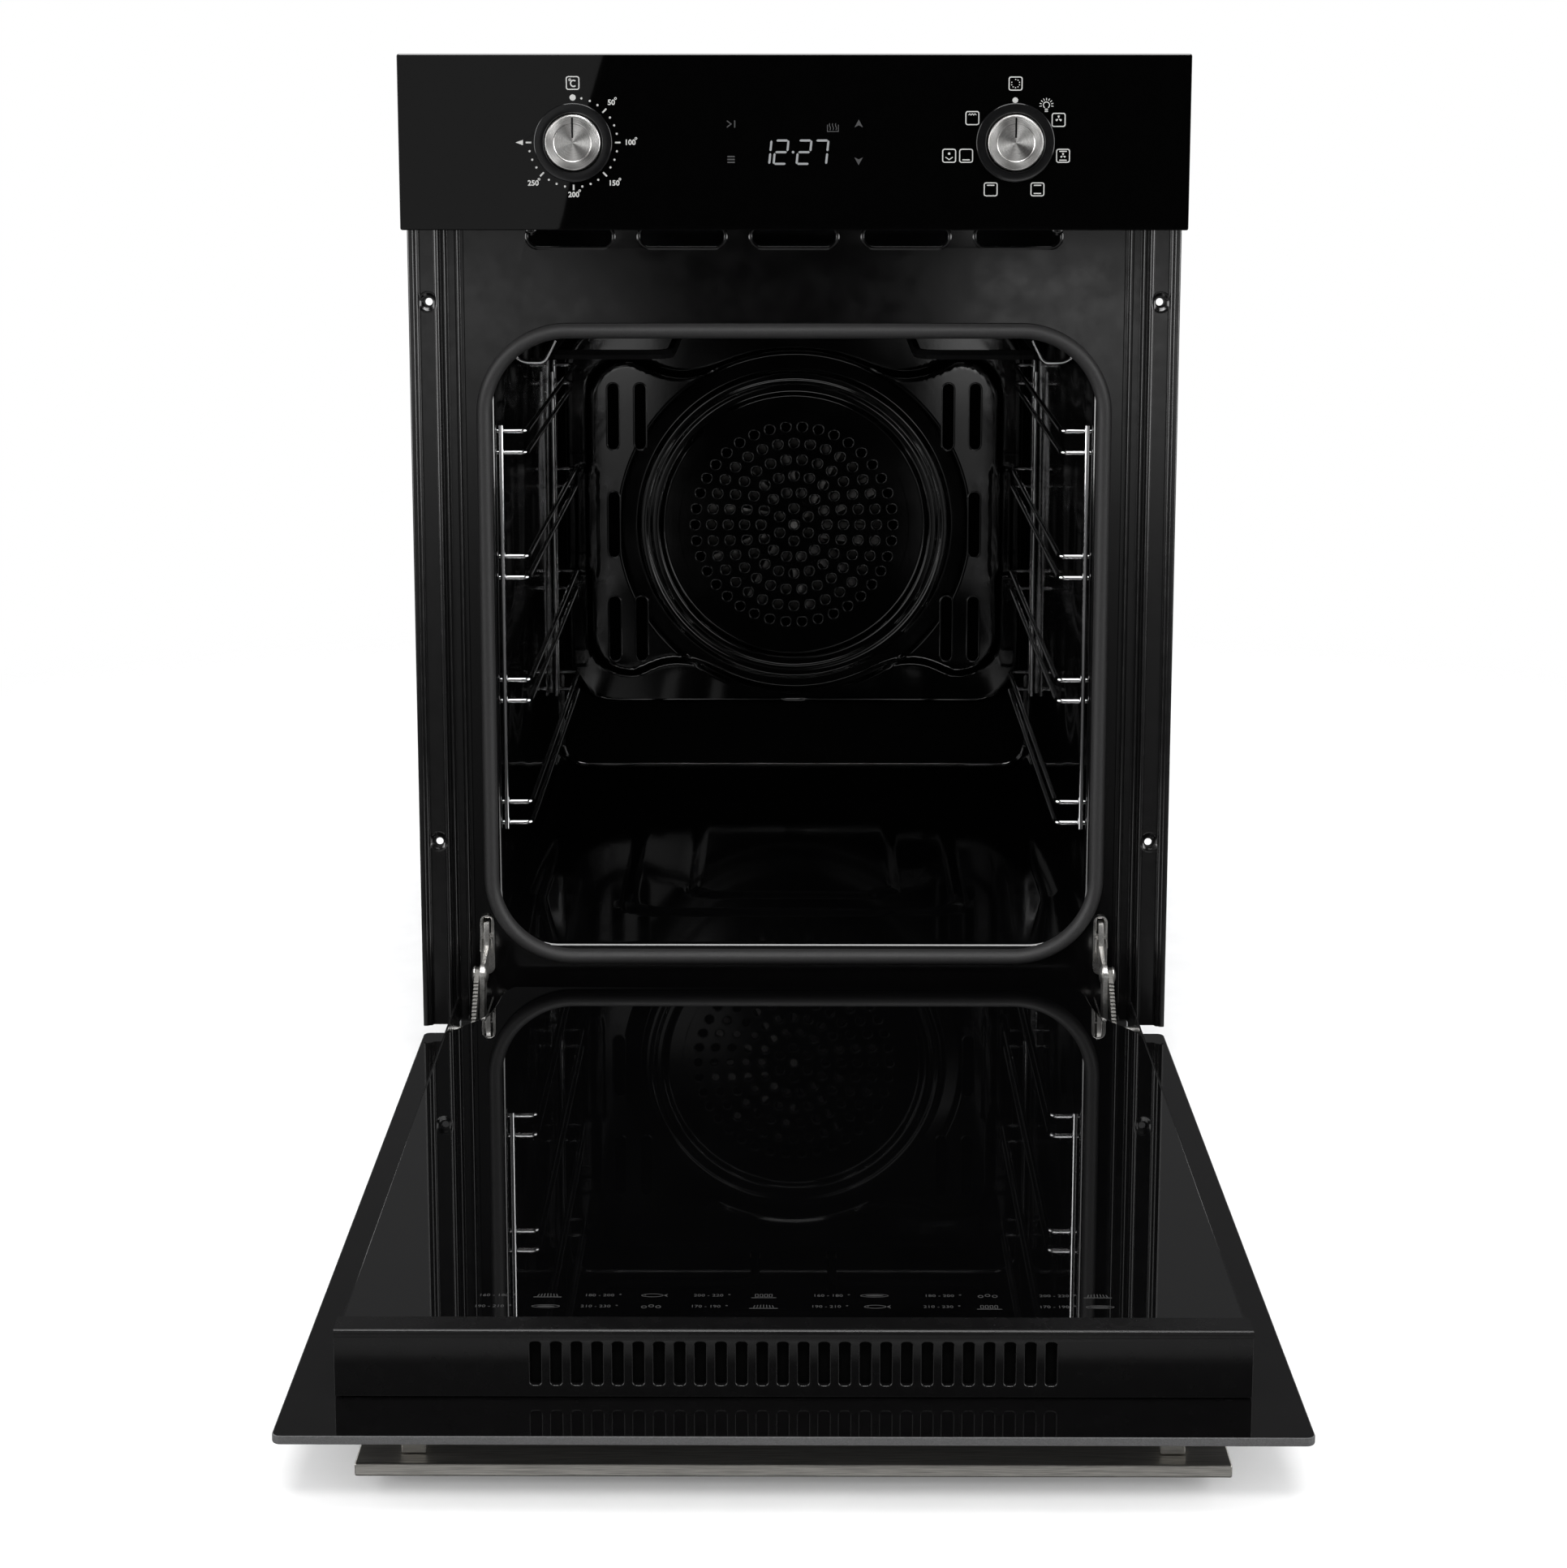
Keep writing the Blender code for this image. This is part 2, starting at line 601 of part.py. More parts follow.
def build_heaters(b):
    tail_end = CAVITY_REAR + INSULATION_GAP + 5 * MM
    ring_y = CAVITY_REAR - 11 * MM
    gap = math.degrees(math.asin(RING_TAIL / RING_R))
    ring = [(x, ring_y, z) for x, z in arc(0, FAN_Z, RING_R, gap - 90, 270 - gap, 28)]
    ring = [(RING_TAIL, tail_end, RING_TAIL_Z)] + ring + [(-RING_TAIL, tail_end, RING_TAIL_Z)]
    b.wire("ring_element", ring, TUBE_R, "element", sides=1)
    wide = CAVITY_HALF - 27 * MM
    front = FRAME_Y + 46 * MM
    back = CAVITY_REAR - 50 * MM
    half_path = [(GRILL_TAIL_X, tail_end), (GRILL_TAIL_X, back), (wide, back), (wide, front),
                 (wide / 2, front), (wide / 2, back - 50 * MM)]
    path = half_path + [(-x, y) for x, y in reversed(half_path)]
    b.wire("grill_element", smooth_corners([(x, y, GRILL_Z) for x, y in path], 14 * MM), TUBE_R,
           "element", sides=1)
    under = FLOOR - SHEET - ELEMENT_SPACE / 2
    loop = [(30 * MM, back - 60 * MM), (30 * MM, back - 20 * MM), (wide, back - 20 * MM), (wide, front),
            (-wide, front), (-wide, back - 20 * MM), (-30 * MM, back - 20 * MM),
            (-30 * MM, back - 60 * MM)]
    b.wire("bottom_element", smooth_corners([(x, y, under) for x, y in loop], 14 * MM), TUBE_R,
           "element", sides=1)


def build_fan(b):
    half = CAVITY_HALF - BAFFLE_INSET - SHEET / 2
    low, high = BAFFLE_LOW, BAFFLE_HIGH
    rim = rounded_rect(-half, half, low, high, 36 * MM)
    face = rounded_rect(-half + 3 * MM, half - 3 * MM, low + 3 * MM, high - 3 * MM, 33 * MM)
    front = BAFFLE_Y + SHEET / 2
    baffle = b.pan("fan_baffle", [loop_at(rim, CAVITY_REAR - GAP), loop_at(rim, front + 3 * MM),
                                  loop_at(face, front)], SHEET, "black_enamel")
    holes = []
    for count, radius in ((1, 0.0), (6, 12.1 * MM), (13, 24.2 * MM)):
        for i in range(count):
            turn = 2 * math.pi * i / count
            x, z = radius * math.cos(turn), FAN_Z + radius * math.sin(turn)
            holes.append(rod_mesh((x, front - 5 * MM, z), (x, front + 5 * MM, z), 3.2 * MM, 6))
    upper, lower = high - 71 * MM, low + 59 * MM
    places = [(x * MM, z) for x in (114, 134) for z in (upper, lower)]
    if upper - lower > 110 * MM:
        places.append((134 * MM, FAN_Z))
    for side in (-1, 1):
        for x, z in places:
            slot = stadium(side * x, z, 8 * MM, 48 * MM, 1)
            holes.append(prism_mesh(slot, "Y", front - 5 * MM, front + 5 * MM))
    b.cut(baffle, holes)

    axle = b.axis("convection_fan_axis", (0, CAVITY_REAR, FAN_Z))
    disc_back = CAVITY_REAR - 4 * MM
    fan = b.rod("convection_fan", (0, disc_back - 1.5 * MM, FAN_Z), (0, disc_back, FAN_Z), FAN_R, "zinc",
                axle, 24)
    b.add(fan, [rod_mesh((0, BAFFLE_Y + 4 * MM, FAN_Z), (0, CAVITY_REAR + 31 * MM, FAN_Z), SHAFT_R)])
    blades = []
    for i in range(10):
        blade = bmesh.new()
        bmesh.ops.create_cube(blade, size=1.0)
        size = Matrix.Diagonal((FAN_R * 0.5, 12 * MM, 1.5 * MM, 1))
        spin = Matrix.Rotation(2 * math.pi * i / 10, 4, "Y")
        place = Matrix.Translation((FAN_R * 0.68, disc_back - 7 * MM, 0))
        whole = Matrix.Translation((0, 0, FAN_Z)) @ spin @ place @ size
        bmesh.ops.transform(blade, matrix=whole, verts=blade.verts)
        blades.append(blade)
    b.combine(fan, b.tool("fan_blades", joined(blades)), "UNION")
    motor_y = CAVITY_REAR + 31 * MM + GAP
    b.rod("fan_motor", (0, motor_y, FAN_Z), (0, motor_y + 42 * MM, FAN_Z), 30 * MM, "galvanised",
          steps=20)


def build_lamp(b):
    centre = (LAMP_X, CAVITY_REAR - LAMP_FORWARD, CEILING)
    lens_top = -0.8 * MM
    b.turned("lamp_lens", [(0, lens_top), (26 * MM, lens_top), (26 * MM, lens_top - 2 * MM),
                           (22 * MM, -7 * MM), (12 * MM, -9.5 * MM), (0, -10 * MM)],
             centre, "Z", "clear_glass", steps=20)
    b.turned("lamp_housing", [(0, 30 * MM), (LAMP_R, 30 * MM), (LAMP_R, -0.4 * MM), (0, -0.4 * MM)],
             centre, "Z", "white_plastic", steps=20)


def build_seal(b):
    def loop(inset, y):
        out_x = SEAL_IN + SEAL_W - inset
        low = FLOOR - 2 * MM - SEAL_W + inset
        high = CEILING + 0.4 * MM + SEAL_W - inset
        return loop_at(rounded_rect(-out_x, out_x, low, high, SEAL_CORNER - inset, 7), y)

    back = FRAME_Y - GAP
    b.ring("door_seal", [loop(0, back), loop(2 * MM, SEAL_FRONT), loop(SEAL_W - 2 * MM, SEAL_FRONT),
                         loop(SEAL_W, back)], "seal")


def build_rack(b, side, word):
    """Wire side rack: two wall rods, and a pair of bows at each level."""
    wall = side * (CAVITY_HALF - WIRE_R - 0.6 * MM)
    inner = wall - side * RACK_BOW
    front = FRAME_Y + RACK_FRONT
    rear = CAVITY_REAR - RACK_REAR
    bend = side * 3 * MM
    low = FLOOR + RACK_RISE - RACK_PAIR
    high = low + RACK_PAIR + (RACK_LEVELS - 1) * RACK_PITCH
    rods = [rod_mesh((wall, y, low - 3 * MM), (wall, y, high + 4 * MM), WIRE_R, 6) for y in (front, rear)]
    rack = b.mesh(f"side_rack_{word}", joined(rods), "chrome")
    bows = []
    for level in range(RACK_LEVELS):
        for z in (low + level * RACK_PITCH, low + RACK_PAIR + level * RACK_PITCH):
            path = [(wall, front), (inner + bend, front), (inner, front + 3 * MM),
                    (inner, rear - 3 * MM), (inner + bend, rear), (wall, rear)]
            bows.append(tube_mesh([(x, y, z) for x, y in path], WIRE_R * 0.95))
    b.add(rack, bows)


def build_hanger(b, side, word):
    """Wire loop that holds the front of the grill element."""
    x0 = side * (CAVITY_HALF - 10.5 * MM)
    path = [(x0, CEILING - 12.5 * MM), (x0 - side * 6 * MM, CEILING - 16 * MM),
            (x0 - side * 18 * MM, CEILING - 16 * MM), (x0 - side * 25 * MM, CEILING - 2 * MM)]
    b.wire(f"element_hanger_{word}", [(x, FRAME_Y + 20 * MM, z) for x, z in path], 1.3 * MM, "chrome",
           sides=1)


# ---- control panel --------------------------------------------------------------------------------
def build_panel(b):
    bore = KNOB_R + 0.6 * MM
    knobs = [circle(side * KNOB_X, KNOB_Z, bore, 20) for side in (-1, 1)]
    outline = rounded_rect(-FRONT_HALF, FRONT_HALF, PANEL_BOTTOM, PANEL_TOP, GLASS_CORNER, 3)
    b.plate("control_panel_glass", [outline] + knobs, "XZ", -FRONT_PROUD + GLASS_T / 2, GLASS_T,
            "black_glass")
    half = FRONT_HALF - CARRIER_INSET
    skin = 1.5 * MM
    rim = rounded_rect(-half, half, PANEL_BOTTOM + 5 * MM, PANEL_TOP - 5 * MM, 4 * MM, 2)
    front = GLASS_BACK + RUN + skin / 2
    carrier = b.pan("panel_carrier", [loop_at(rim, -SHEET - RUN), loop_at(rim, front)], skin,
                    "black_plastic")
    b.cut(carrier, [rod_mesh((s * KNOB_X, front - 5 * MM, KNOB_Z), (s * KNOB_X, front + 5 * MM, KNOB_Z),
                             bore, 20) for s in (-1, 1)])
    behind = front + skin / 2 + GAP
    b.box("timer_module", (-42 * MM, 42 * MM), (behind, behind + 18 * MM),
          (PANEL_MID - 18 * MM, PANEL_MID + 22 * MM), "black_plastic", bevel=1.5 * MM)
    for side, word, switch in ((-1, "temperature", "thermostat"), (1, "function", "function_switch")):
        build_knob(b, side * KNOB_X, word, switch)


def build_knob(b, x, word, switch):
    centre = (x, 0, KNOB_Z)
    inner = KNOB_R + 0.6 * MM
    outer = inner + BEZEL_W
    glass = FRONT_PROUD + RUN
    b.turned(f"{word}_bezel", [(inner, glass + BEZEL_T * 0.6), (inner + 1 * MM, glass + BEZEL_T),
                               (outer - 1 * MM, glass + BEZEL_T), (outer, glass + BEZEL_T * 0.5),
                               (outer, glass), (inner, glass)], centre, "-Y", "black_glass")
    switch_y = KNOB_REAR + 3 * MM
    half = SWITCH_SIZE / 2
    b.box(switch, (x - half, x + half), (switch_y, switch_y + SWITCH_D), (KNOB_Z - half, KNOB_Z + half),
          "white_plastic", bevel=2 * MM)
    axis = b.axis(f"{word}_axis", centre)
    shaft_front = KNOB_FRONT + KNOB_FACE_T + 1 * MM
    b.rod(f"{word}_shaft", (x, shaft_front, KNOB_Z), (x, switch_y - GAP, KNOB_Z), SHAFT_R, "zinc", axis)
    face, back = -KNOB_FRONT, -KNOB_REAR
    bore = SHAFT_R + RUN
    profile = [(0, face), (KNOB_R * 0.66, face), (KNOB_R - 1.2 * MM, face - 1.2 * MM),
               (KNOB_R, face - 2.4 * MM), (KNOB_R, back), (bore, back), (bore, face - KNOB_FACE_T),
               (0, face - KNOB_FACE_T)]
    knob = b.turned(f"{word}_knob", profile, centre, "-Y", "brushed_steel", axis)
    b.cut(knob, [knob_slot(face)])


def knob_slot(face):
    """Pointer groove, in the knob's own frame before it is turned to face the room."""
    bm = bmesh.new()
    bmesh.ops.create_cube(bm, size=1.0)
    size = Matrix.Diagonal((1.2 * MM, KNOB_R * 0.62, 1.2 * MM, 1))
    bmesh.ops.transform(bm, matrix=Matrix.Translation((0, KNOB_R * 0.55, face)) @ size, verts=bm.verts)
    return bm


# ---- cooling air and wiring -----------------------------------------------------------------------
def build_cooling(b):
    half = BODY_HALF - 16 * MM
    guide_z = CEILING + 38 * MM
    b.sheet("air_guide", [(FRAME_BACK + 2 * MM, DOOR_TOP - 11 * MM), (FRAME_BACK + 24 * MM, guide_z),
                          (CAVITY_REAR + 40 * MM, guide_z)], "X", -half, half, SHEET, "galvanised")
    centre_y = CAVITY_REAR - 20 * MM
    centre_z = guide_z + 46 * MM
    scroll = [(centre_y - 60 * MM, centre_z - 34 * MM)] + arc(centre_y, centre_z, 34 * MM, -90, 150, 10)
    b.sheet("blower_housing", scroll + [(centre_y - 60 * MM, centre_z + 12 * MM)], "X", -100 * MM,
            100 * MM, SHEET, "galvanised")
    axle = b.axis("blower_axis", (0, centre_y, centre_z))
    teeth = 12
    drum = []
    for i in range(teeth * 2):
        radius = (25 if i % 2 else 20) * MM
        drum += arc(centre_y, centre_z, radius, i * 180 / teeth, (i + 0.8) * 180 / teeth, 1)
    rotor = b.mesh("cooling_rotor", prism_mesh(drum, "X", -95 * MM, 95 * MM), "galvanised", axle)
    b.add(rotor, [rod_mesh((80 * MM, centre_y, centre_z), (104 * MM, centre_y, centre_z), SHAFT_R)])
    b.rod("blower_motor", (104 * MM + GAP, centre_y, centre_z), (140 * MM, centre_y, centre_z), 24 * MM,
          "galvanised", steps=20)


def build_terminal(b):
    x, z = -120 * MM, FLOOR + 30 * MM
    rear = BODY_D + GAP
    b.box("terminal_box", (x - 32 * MM, x + 32 * MM), (rear, rear + 18 * MM), (z - 26 * MM, z + 26 * MM),
          "black_plastic", bevel=2 * MM)
    top = z - 26 * MM - RUN
    b.turned("cable_gland", [(4 * MM, top), (8 * MM, top), (8 * MM, top - 5 * MM), (6.5 * MM, top - 6 * MM),
                             (6.5 * MM, top - 14 * MM), (4 * MM, top - 15 * MM)],
             (x, rear + 9 * MM, 0), "Z", "black_plastic", steps=16)


# ---- hinges ---------------------------------------------------------------------------------------
def arm_outline():
    """Side view of the hinge arm: pivot at the bottom, link pin above, tongue into the receiver."""
    back = FRAME_Y - 5.5 * MM
    tongue = PIVOT_RISE + 52 * MM
    pin_y, pin_z = LINK_PIN
    return (arc(PIVOT_SETBACK, PIVOT_RISE, ARM_END_R, 180, 360, 8)
            + [(pin_y + 6 * MM, pin_z - 8 * MM), (pin_y + 11 * MM, pin_z - 3 * MM),
               (back - 2 * MM, pin_z + 3 * MM), (back, pin_z + 6 * MM), (back, tongue),
               (FRAME_BACK + 7 * MM, tongue), (FRAME_BACK + 7 * MM, tongue - 6 * MM),
               (FRAME_BACK + 10 * MM, tongue - 6 * MM), (FRAME_BACK + 10 * MM, tongue + 6.5 * MM),
               (back - 1.4 * MM, tongue + 6.5 * MM), (back - ARM_NECK, tongue + 3 * MM),
               (back - ARM_NECK, pin_z + 11 * MM), (pin_y + 6 * MM, pin_z + 7 * MM)]
            + arc(pin_y, pin_z, 6.5 * MM, 70, 180, 5))


def build_hinge(b, side, word):
    pin_y, pin_z = LINK_PIN
    end_y, end_z = LINK_END
    low = PIVOT_RISE + 24.6 * MM
    high = PIVOT_RISE + 61.6 * MM
    x = side * HINGE_X
    plate = rounded_rect(-4.3 * MM, 4.3 * MM, low, high, 4.2 * MM, 5)
    slot = rounded_rect(-2.3 * MM, 2.3 * MM, PIVOT_RISE + 50.6 * MM, PIVOT_RISE + 60 * MM, 0.5 * MM, 2)
    shift = HINGE_X + 0.2 * MM
    outlines = [[(side * (shift + u), v) for u, v in shape] for shape in (plate, slot)]
    b.plate(f"hinge_receiver_{word}", outlines, "XZ", FRAME_Y - GAP - 1 * MM, 2 * MM, "zinc")

    arm = b.mesh(f"hinge_arm_{word}", prism_mesh(arm_outline(), "X", x - ARM_T / 2, x + ARM_T / 2), "zinc")
    b.cut(arm, [rod_mesh((x - 5 * MM, pin_y, pin_z), (x + 5 * MM, pin_y, pin_z), PIN_R + RUN)])
    pivot = [(side * u, PIVOT_SETBACK, PIVOT_RISE) for u in (RAIL_IN - 1 * MM, RAIL_OUT + 0.6 * MM)]
    b.combine(arm, b.tool(f"hinge_pin_{word}", rod_mesh(*pivot, PIN_R)), "UNION")

    axis = b.axis(f"hinge_link_axis_{word}", (x, pin_y, pin_z))
    inner = HINGE_X + ARM_T / 2 + RUN
    middle = side * (inner + ARM_T / 2)
    length = math.hypot(end_y - pin_y, end_z - pin_z)
    along = math.degrees(math.atan2(end_z - pin_z, end_y - pin_y))
    half_w = 3 * MM
    shape = arc(pin_y, pin_z, 4.5 * MM, along + 60, along + 300, 8)
    shape += arc(pin_y + length * math.cos(math.radians(along)),
                 pin_z + length * math.sin(math.radians(along)), half_w, along - 90, along + 90, 6)
    link = b.mesh(f"hinge_link_{word}", prism_mesh(shape, "X", middle - ARM_T / 2, middle + ARM_T / 2),
                  "zinc", axis)
    b.add(link, [rod_mesh((side * (HINGE_X - ARM_T / 2 - 1.5 * MM), pin_y, pin_z),
                          (middle, pin_y, pin_z), PIN_R)])


# ---- door, lying open -----------------------------------------------------------------------------
def build_door(b):
    axis = b.axis("door_axis", (0, PIVOT_SETBACK, PIVOT_RISE))
    build_door_glass(b, axis)
    build_door_frame(b, axis)
    build_handle(b, axis)


def inner_glass_outline():
    """Inner glass in plan, with its rear corners cut away round the hinges."""
    half = RAIL_OUT - 2 * MM
    rear = DOOR_REAR - 4.9 * MM
    front = DOOR_FRONT + 38 * MM
    notch = [(half, -84 * MM), (half - 1 * MM, -80 * MM), (half - 6.5 * MM, -70 * MM),
             (half - 16 * MM, -58 * MM), (half - 22 * MM, -47 * MM), (half - 24.5 * MM, -30 * MM),
             (half - 25.5 * MM, -14 * MM), (half - 28 * MM, -6.5 * MM), (half - 31 * MM, 0)]
    right = [(half, front)] + [(x, rear + y) for x, y in notch]
    return right + [(-x, y) for x, y in reversed(right)]


def build_door_glass(b, axis):
    outer = rounded_rect(-FRONT_HALF, FRONT_HALF, DOOR_FRONT, DOOR_REAR, GLASS_CORNER, 3)
    b.plate("door_outer_glass", [outer], "XY", DOOR_FACE + GLASS_T / 2, GLASS_T, "black_glass", axis)
    half = RAIL_IN - 2 * MM
    middle = rounded_rect(-half, half, DOOR_FRONT + 51 * MM, DOOR_REAR - 25 * MM, 3 * MM, 2)
    z = (DOOR_INSIDE + RAIL_TOP) / 2
    b.plate("door_middle_glass", [middle], "XY", z, 3 * MM, "clear_glass", axis)
    b.plate("door_inner_glass", [inner_glass_outline()], "XY", INNER_GLASS_Z + DOOR_GLASS_T / 2,
            DOOR_GLASS_T, "black_glass", axis)
    for word, y, way in (("front", DOOR_FRONT + 38.6 * MM, 1), ("rear", DOOR_REAR - 8 * MM, -1)):
        near, far, notch = y, y + way * 18 * MM, y + way * 12 * MM
        low, high = DOOR_INSIDE + SHEET + 2 * RUN, RAIL_TOP + GAP - RUN
        shape = [(near, low), (far, low), (far, z - 1.8 * MM), (notch, z - 1.8 * MM),
                 (notch, z + 1.8 * MM), (far, z + 1.8 * MM), (far, high), (near, high)]
        b.mesh(f"glass_holder_{word}", prism_mesh(shape, "X", -150 * MM, 150 * MM), "seal", axis)


def build_door_frame(b, axis):
    skin = SHEET / 2
    base = DOOR_INSIDE + RUN + skin
    front = DOOR_FRONT + 34 * MM + skin
    top = INNER_GLASS_Z + DOOR_GLASS_T + RUN + skin
    cap = b.sheet("door_top_profile", [(front, base), (front, top), (front + 12.5 * MM, top)], "X",
                  -RAIL_OUT, RAIL_OUT, SHEET, "black_paint", axis)
    slot_z = DOOR_INSIDE + 16.2 * MM
    slots = [stadium((i - (SLOT_COUNT - 1) / 2) * SLOT_PITCH, slot_z, SLOT_W, SLOT_H, 1)
             for i in range(SLOT_COUNT)]
    b.cut(cap, [prism_mesh(s, "Y", front - 5 * MM, front + 5 * MM) for s in slots])
    rear = DOOR_REAR - 5.4 * MM - skin
    b.sheet("door_bottom_profile", [(rear - 14 * MM, base), (rear, base), (rear, RAIL_TOP - skin)], "X",
            -RAIL_IN + 9 * MM, RAIL_IN - 9 * MM, SHEET, "black_paint", axis)
    for side, word in ((-1, "left"), (1, "right")):
        build_door_rail(b, side, word, base, axis)


def build_door_rail(b, side, word, base, axis):
    """U-shaped hinge channel, open towards the inner glass."""
    skin = SHEET / 2
    out, inner = RAIL_OUT - skin, RAIL_IN + skin
    profile = [(out, RAIL_TOP), (out, base), (inner, base), (inner, RAIL_TOP)]
    rail = b.sheet(f"door_rail_{word}", mirrored(profile, side), "Y", DOOR_FRONT + 36 * MM,
                   DOOR_REAR - 10.9 * MM, SHEET, "black_paint", axis)
    walls = [(side * u, PIVOT_SETBACK, PIVOT_RISE) for u in (RAIL_IN - 5 * MM, RAIL_OUT + 5 * MM)]
    b.cut(rail, [rod_mesh(*walls, PIN_R + RUN)])
    turns, steps = 6, 8
    start = DOOR_REAR - 150 * MM
    x, z = side * (RAIL_OUT - RAIL_W / 2), PIVOT_RISE + 3 * MM
    coil = []
    for i in range(turns * steps + 1):
        turn = 2 * math.pi * i / steps
        coil.append((x + 6 * MM * math.cos(turn), start - 16 * MM * i / steps, z + 6 * MM * math.sin(turn)))
    b.wire(f"hinge_spring_{word}", coil, 1.1 * MM, "zinc", axis, sides=0)


def build_handle(b, axis):
    top = DOOR_FACE - HANDLE_GAP
    edge = DOOR_FRONT + HANDLE_SETBACK
    b.box("handle_bar", (-HANDLE_L / 2, HANDLE_L / 2), (edge, edge + HANDLE_W), (top - HANDLE_T, top),
          "brushed_steel", axis, bevel=0.8 * MM)
    for side, word in ((-1, "left"), (1, "right")):
        x = side * STANDOFF_X
        b.box(f"handle_standoff_{word}", (x - STANDOFF_W / 2, x + STANDOFF_W / 2),
              (edge + 8.5 * MM, edge + 8.5 * MM + STANDOFF_D), (top + RUN, DOOR_FACE - RUN),
              "brushed_steel", axis, bevel=0.6 * MM)


def main():
    clear_scene()
    b = Builder()
    build_shell(b)
    build_cavity(b)
    build_panel(b)
    build_cooling(b)
    build_terminal(b)
    for side, word in ((-1, "left"), (1, "right")):
        build_hinge(b, side, word)
    build_door(b)


main()
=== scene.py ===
"""Looks, lights and camera for the built-in wall oven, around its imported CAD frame.

All shapes are written in millimetres and scaled to metres when their mesh is made. X runs to the
right, Y into the cabinet and Z up, from the middle of the niche's front lower edge.
"""
import json
import math

import bmesh
import bpy
from mathutils import Matrix, Vector


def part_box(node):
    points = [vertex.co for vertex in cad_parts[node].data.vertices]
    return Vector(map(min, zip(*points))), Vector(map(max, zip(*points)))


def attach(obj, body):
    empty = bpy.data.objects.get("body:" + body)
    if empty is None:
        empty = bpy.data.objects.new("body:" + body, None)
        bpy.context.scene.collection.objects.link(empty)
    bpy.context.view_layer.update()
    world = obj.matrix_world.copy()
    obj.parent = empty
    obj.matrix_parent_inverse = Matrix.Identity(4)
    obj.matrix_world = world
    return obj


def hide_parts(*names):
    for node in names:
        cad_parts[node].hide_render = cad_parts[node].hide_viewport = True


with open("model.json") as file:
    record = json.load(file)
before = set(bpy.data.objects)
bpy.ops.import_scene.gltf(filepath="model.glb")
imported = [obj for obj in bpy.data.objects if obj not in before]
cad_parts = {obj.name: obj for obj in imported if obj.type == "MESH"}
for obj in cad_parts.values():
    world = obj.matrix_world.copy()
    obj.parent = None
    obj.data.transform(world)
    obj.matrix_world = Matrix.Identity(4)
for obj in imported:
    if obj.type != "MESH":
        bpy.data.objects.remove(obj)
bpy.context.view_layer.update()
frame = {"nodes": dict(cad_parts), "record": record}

MM = 0.001
SIDES = ((-1, "left"), (1, "right"))
scene = bpy.context.scene


def cad(node):
    """A CAD node's lowest and highest corner in millimetres."""
    low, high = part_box(node)
    return low / MM, high / MM


# ---- node graphs ----------------------------------------------------------------------------------
class Graph:
    """The nodes of a material or world around one of them, its shader."""

    def __init__(self, owner, shader, coordinates="Object"):
        owner.use_nodes = True
        self.owner = owner
        self.tree = owner.node_tree
        self.shader = self.tree.nodes[shader]
        self.place = self.tree.nodes.new("ShaderNodeTexCoord").outputs[coordinates]

    def put(self, key, value, node=None):
        """Sets or links a socket of a node, or of the shader if none is named."""
        socket = (node or self.shader).inputs[key]
        if isinstance(value, bpy.types.NodeSocket):
            self.tree.links.new(value, socket)
        else:
            socket.default_value = value

    def node(self, kind, inputs=(), **settings):
        made = self.tree.nodes.new(kind)
        for key, value in settings.items():
            setattr(made, key, value)
        for key, value in dict(inputs).items():
            self.put(key, value, made)
        return made

    def axes(self):
        """The three coordinates as sockets."""
        return self.node("ShaderNodeSeparateXYZ", {"Vector": self.place}).outputs

    def length(self, vector):
        return self.node("ShaderNodeVectorMath", {0: vector}, operation="LENGTH").outputs["Value"]

    def calculate(self, operation, *values):
        return self.node("ShaderNodeMath", dict(enumerate(values)), operation=operation).outputs[0]

    def mix_colours(self, factor, first, second):
        """The factor and the two colours are sockets 0, 6 and 7 of a Mix node, its colour output is 2."""
        return self.node("ShaderNodeMix", {0: factor, 6: first, 7: second}, data_type="RGBA").outputs[2]

    def remap(self, value, low, high, start=0.3, end=0.7):
        return self.node("ShaderNodeMapRange", {"Value": value, "From Min": start, "From Max": end,
                                                "To Min": low, "To Max": high}).outputs[0]

    def ramp(self, value, stops):
        ramp = self.node("ShaderNodeValToRGB", {"Fac": value})
        elements = ramp.color_ramp.elements
        while len(elements) < len(stops):
            elements.new(0.5)
        for element, (position, colour) in zip(elements, stops):
            element.position = position
            element.color = (*colour, 1.0)
        return ramp.outputs["Color"]


class Paint(Graph):
    """A material around one Principled shader."""

    def __init__(self, name, colour, roughness, metallic=0.0, **settings):
        super().__init__(bpy.data.materials.new(name), "Principled BSDF")
        self.name = name
        self.owner.diffuse_color = (*colour, 1.0)
        self.put("Base Color", (*colour, 1.0))
        self.put("Roughness", roughness)
        self.put("Metallic", metallic)
        for key, value in settings.items():
            self.put(key.replace("_", " "), value)

    def noise(self, grain, detail=3.0, stretch=(1, 1, 1)):
        """Noise with grains of so many millimetres."""
        scale = [k / (grain * MM) for k in stretch]
        mapping = self.node("ShaderNodeMapping", {"Vector": self.place, "Scale": scale})
        return self.node("ShaderNodeTexNoise", {"Vector": mapping.outputs[0], "Scale": 1.0,
                                                "Detail": detail}).outputs["Fac"]

    def bump(self, height, distance):
        """Relief of so many millimetres."""
        made = self.node("ShaderNodeBump", {"Height": height, "Distance": distance * MM})
        self.put("Normal", made.outputs[0])


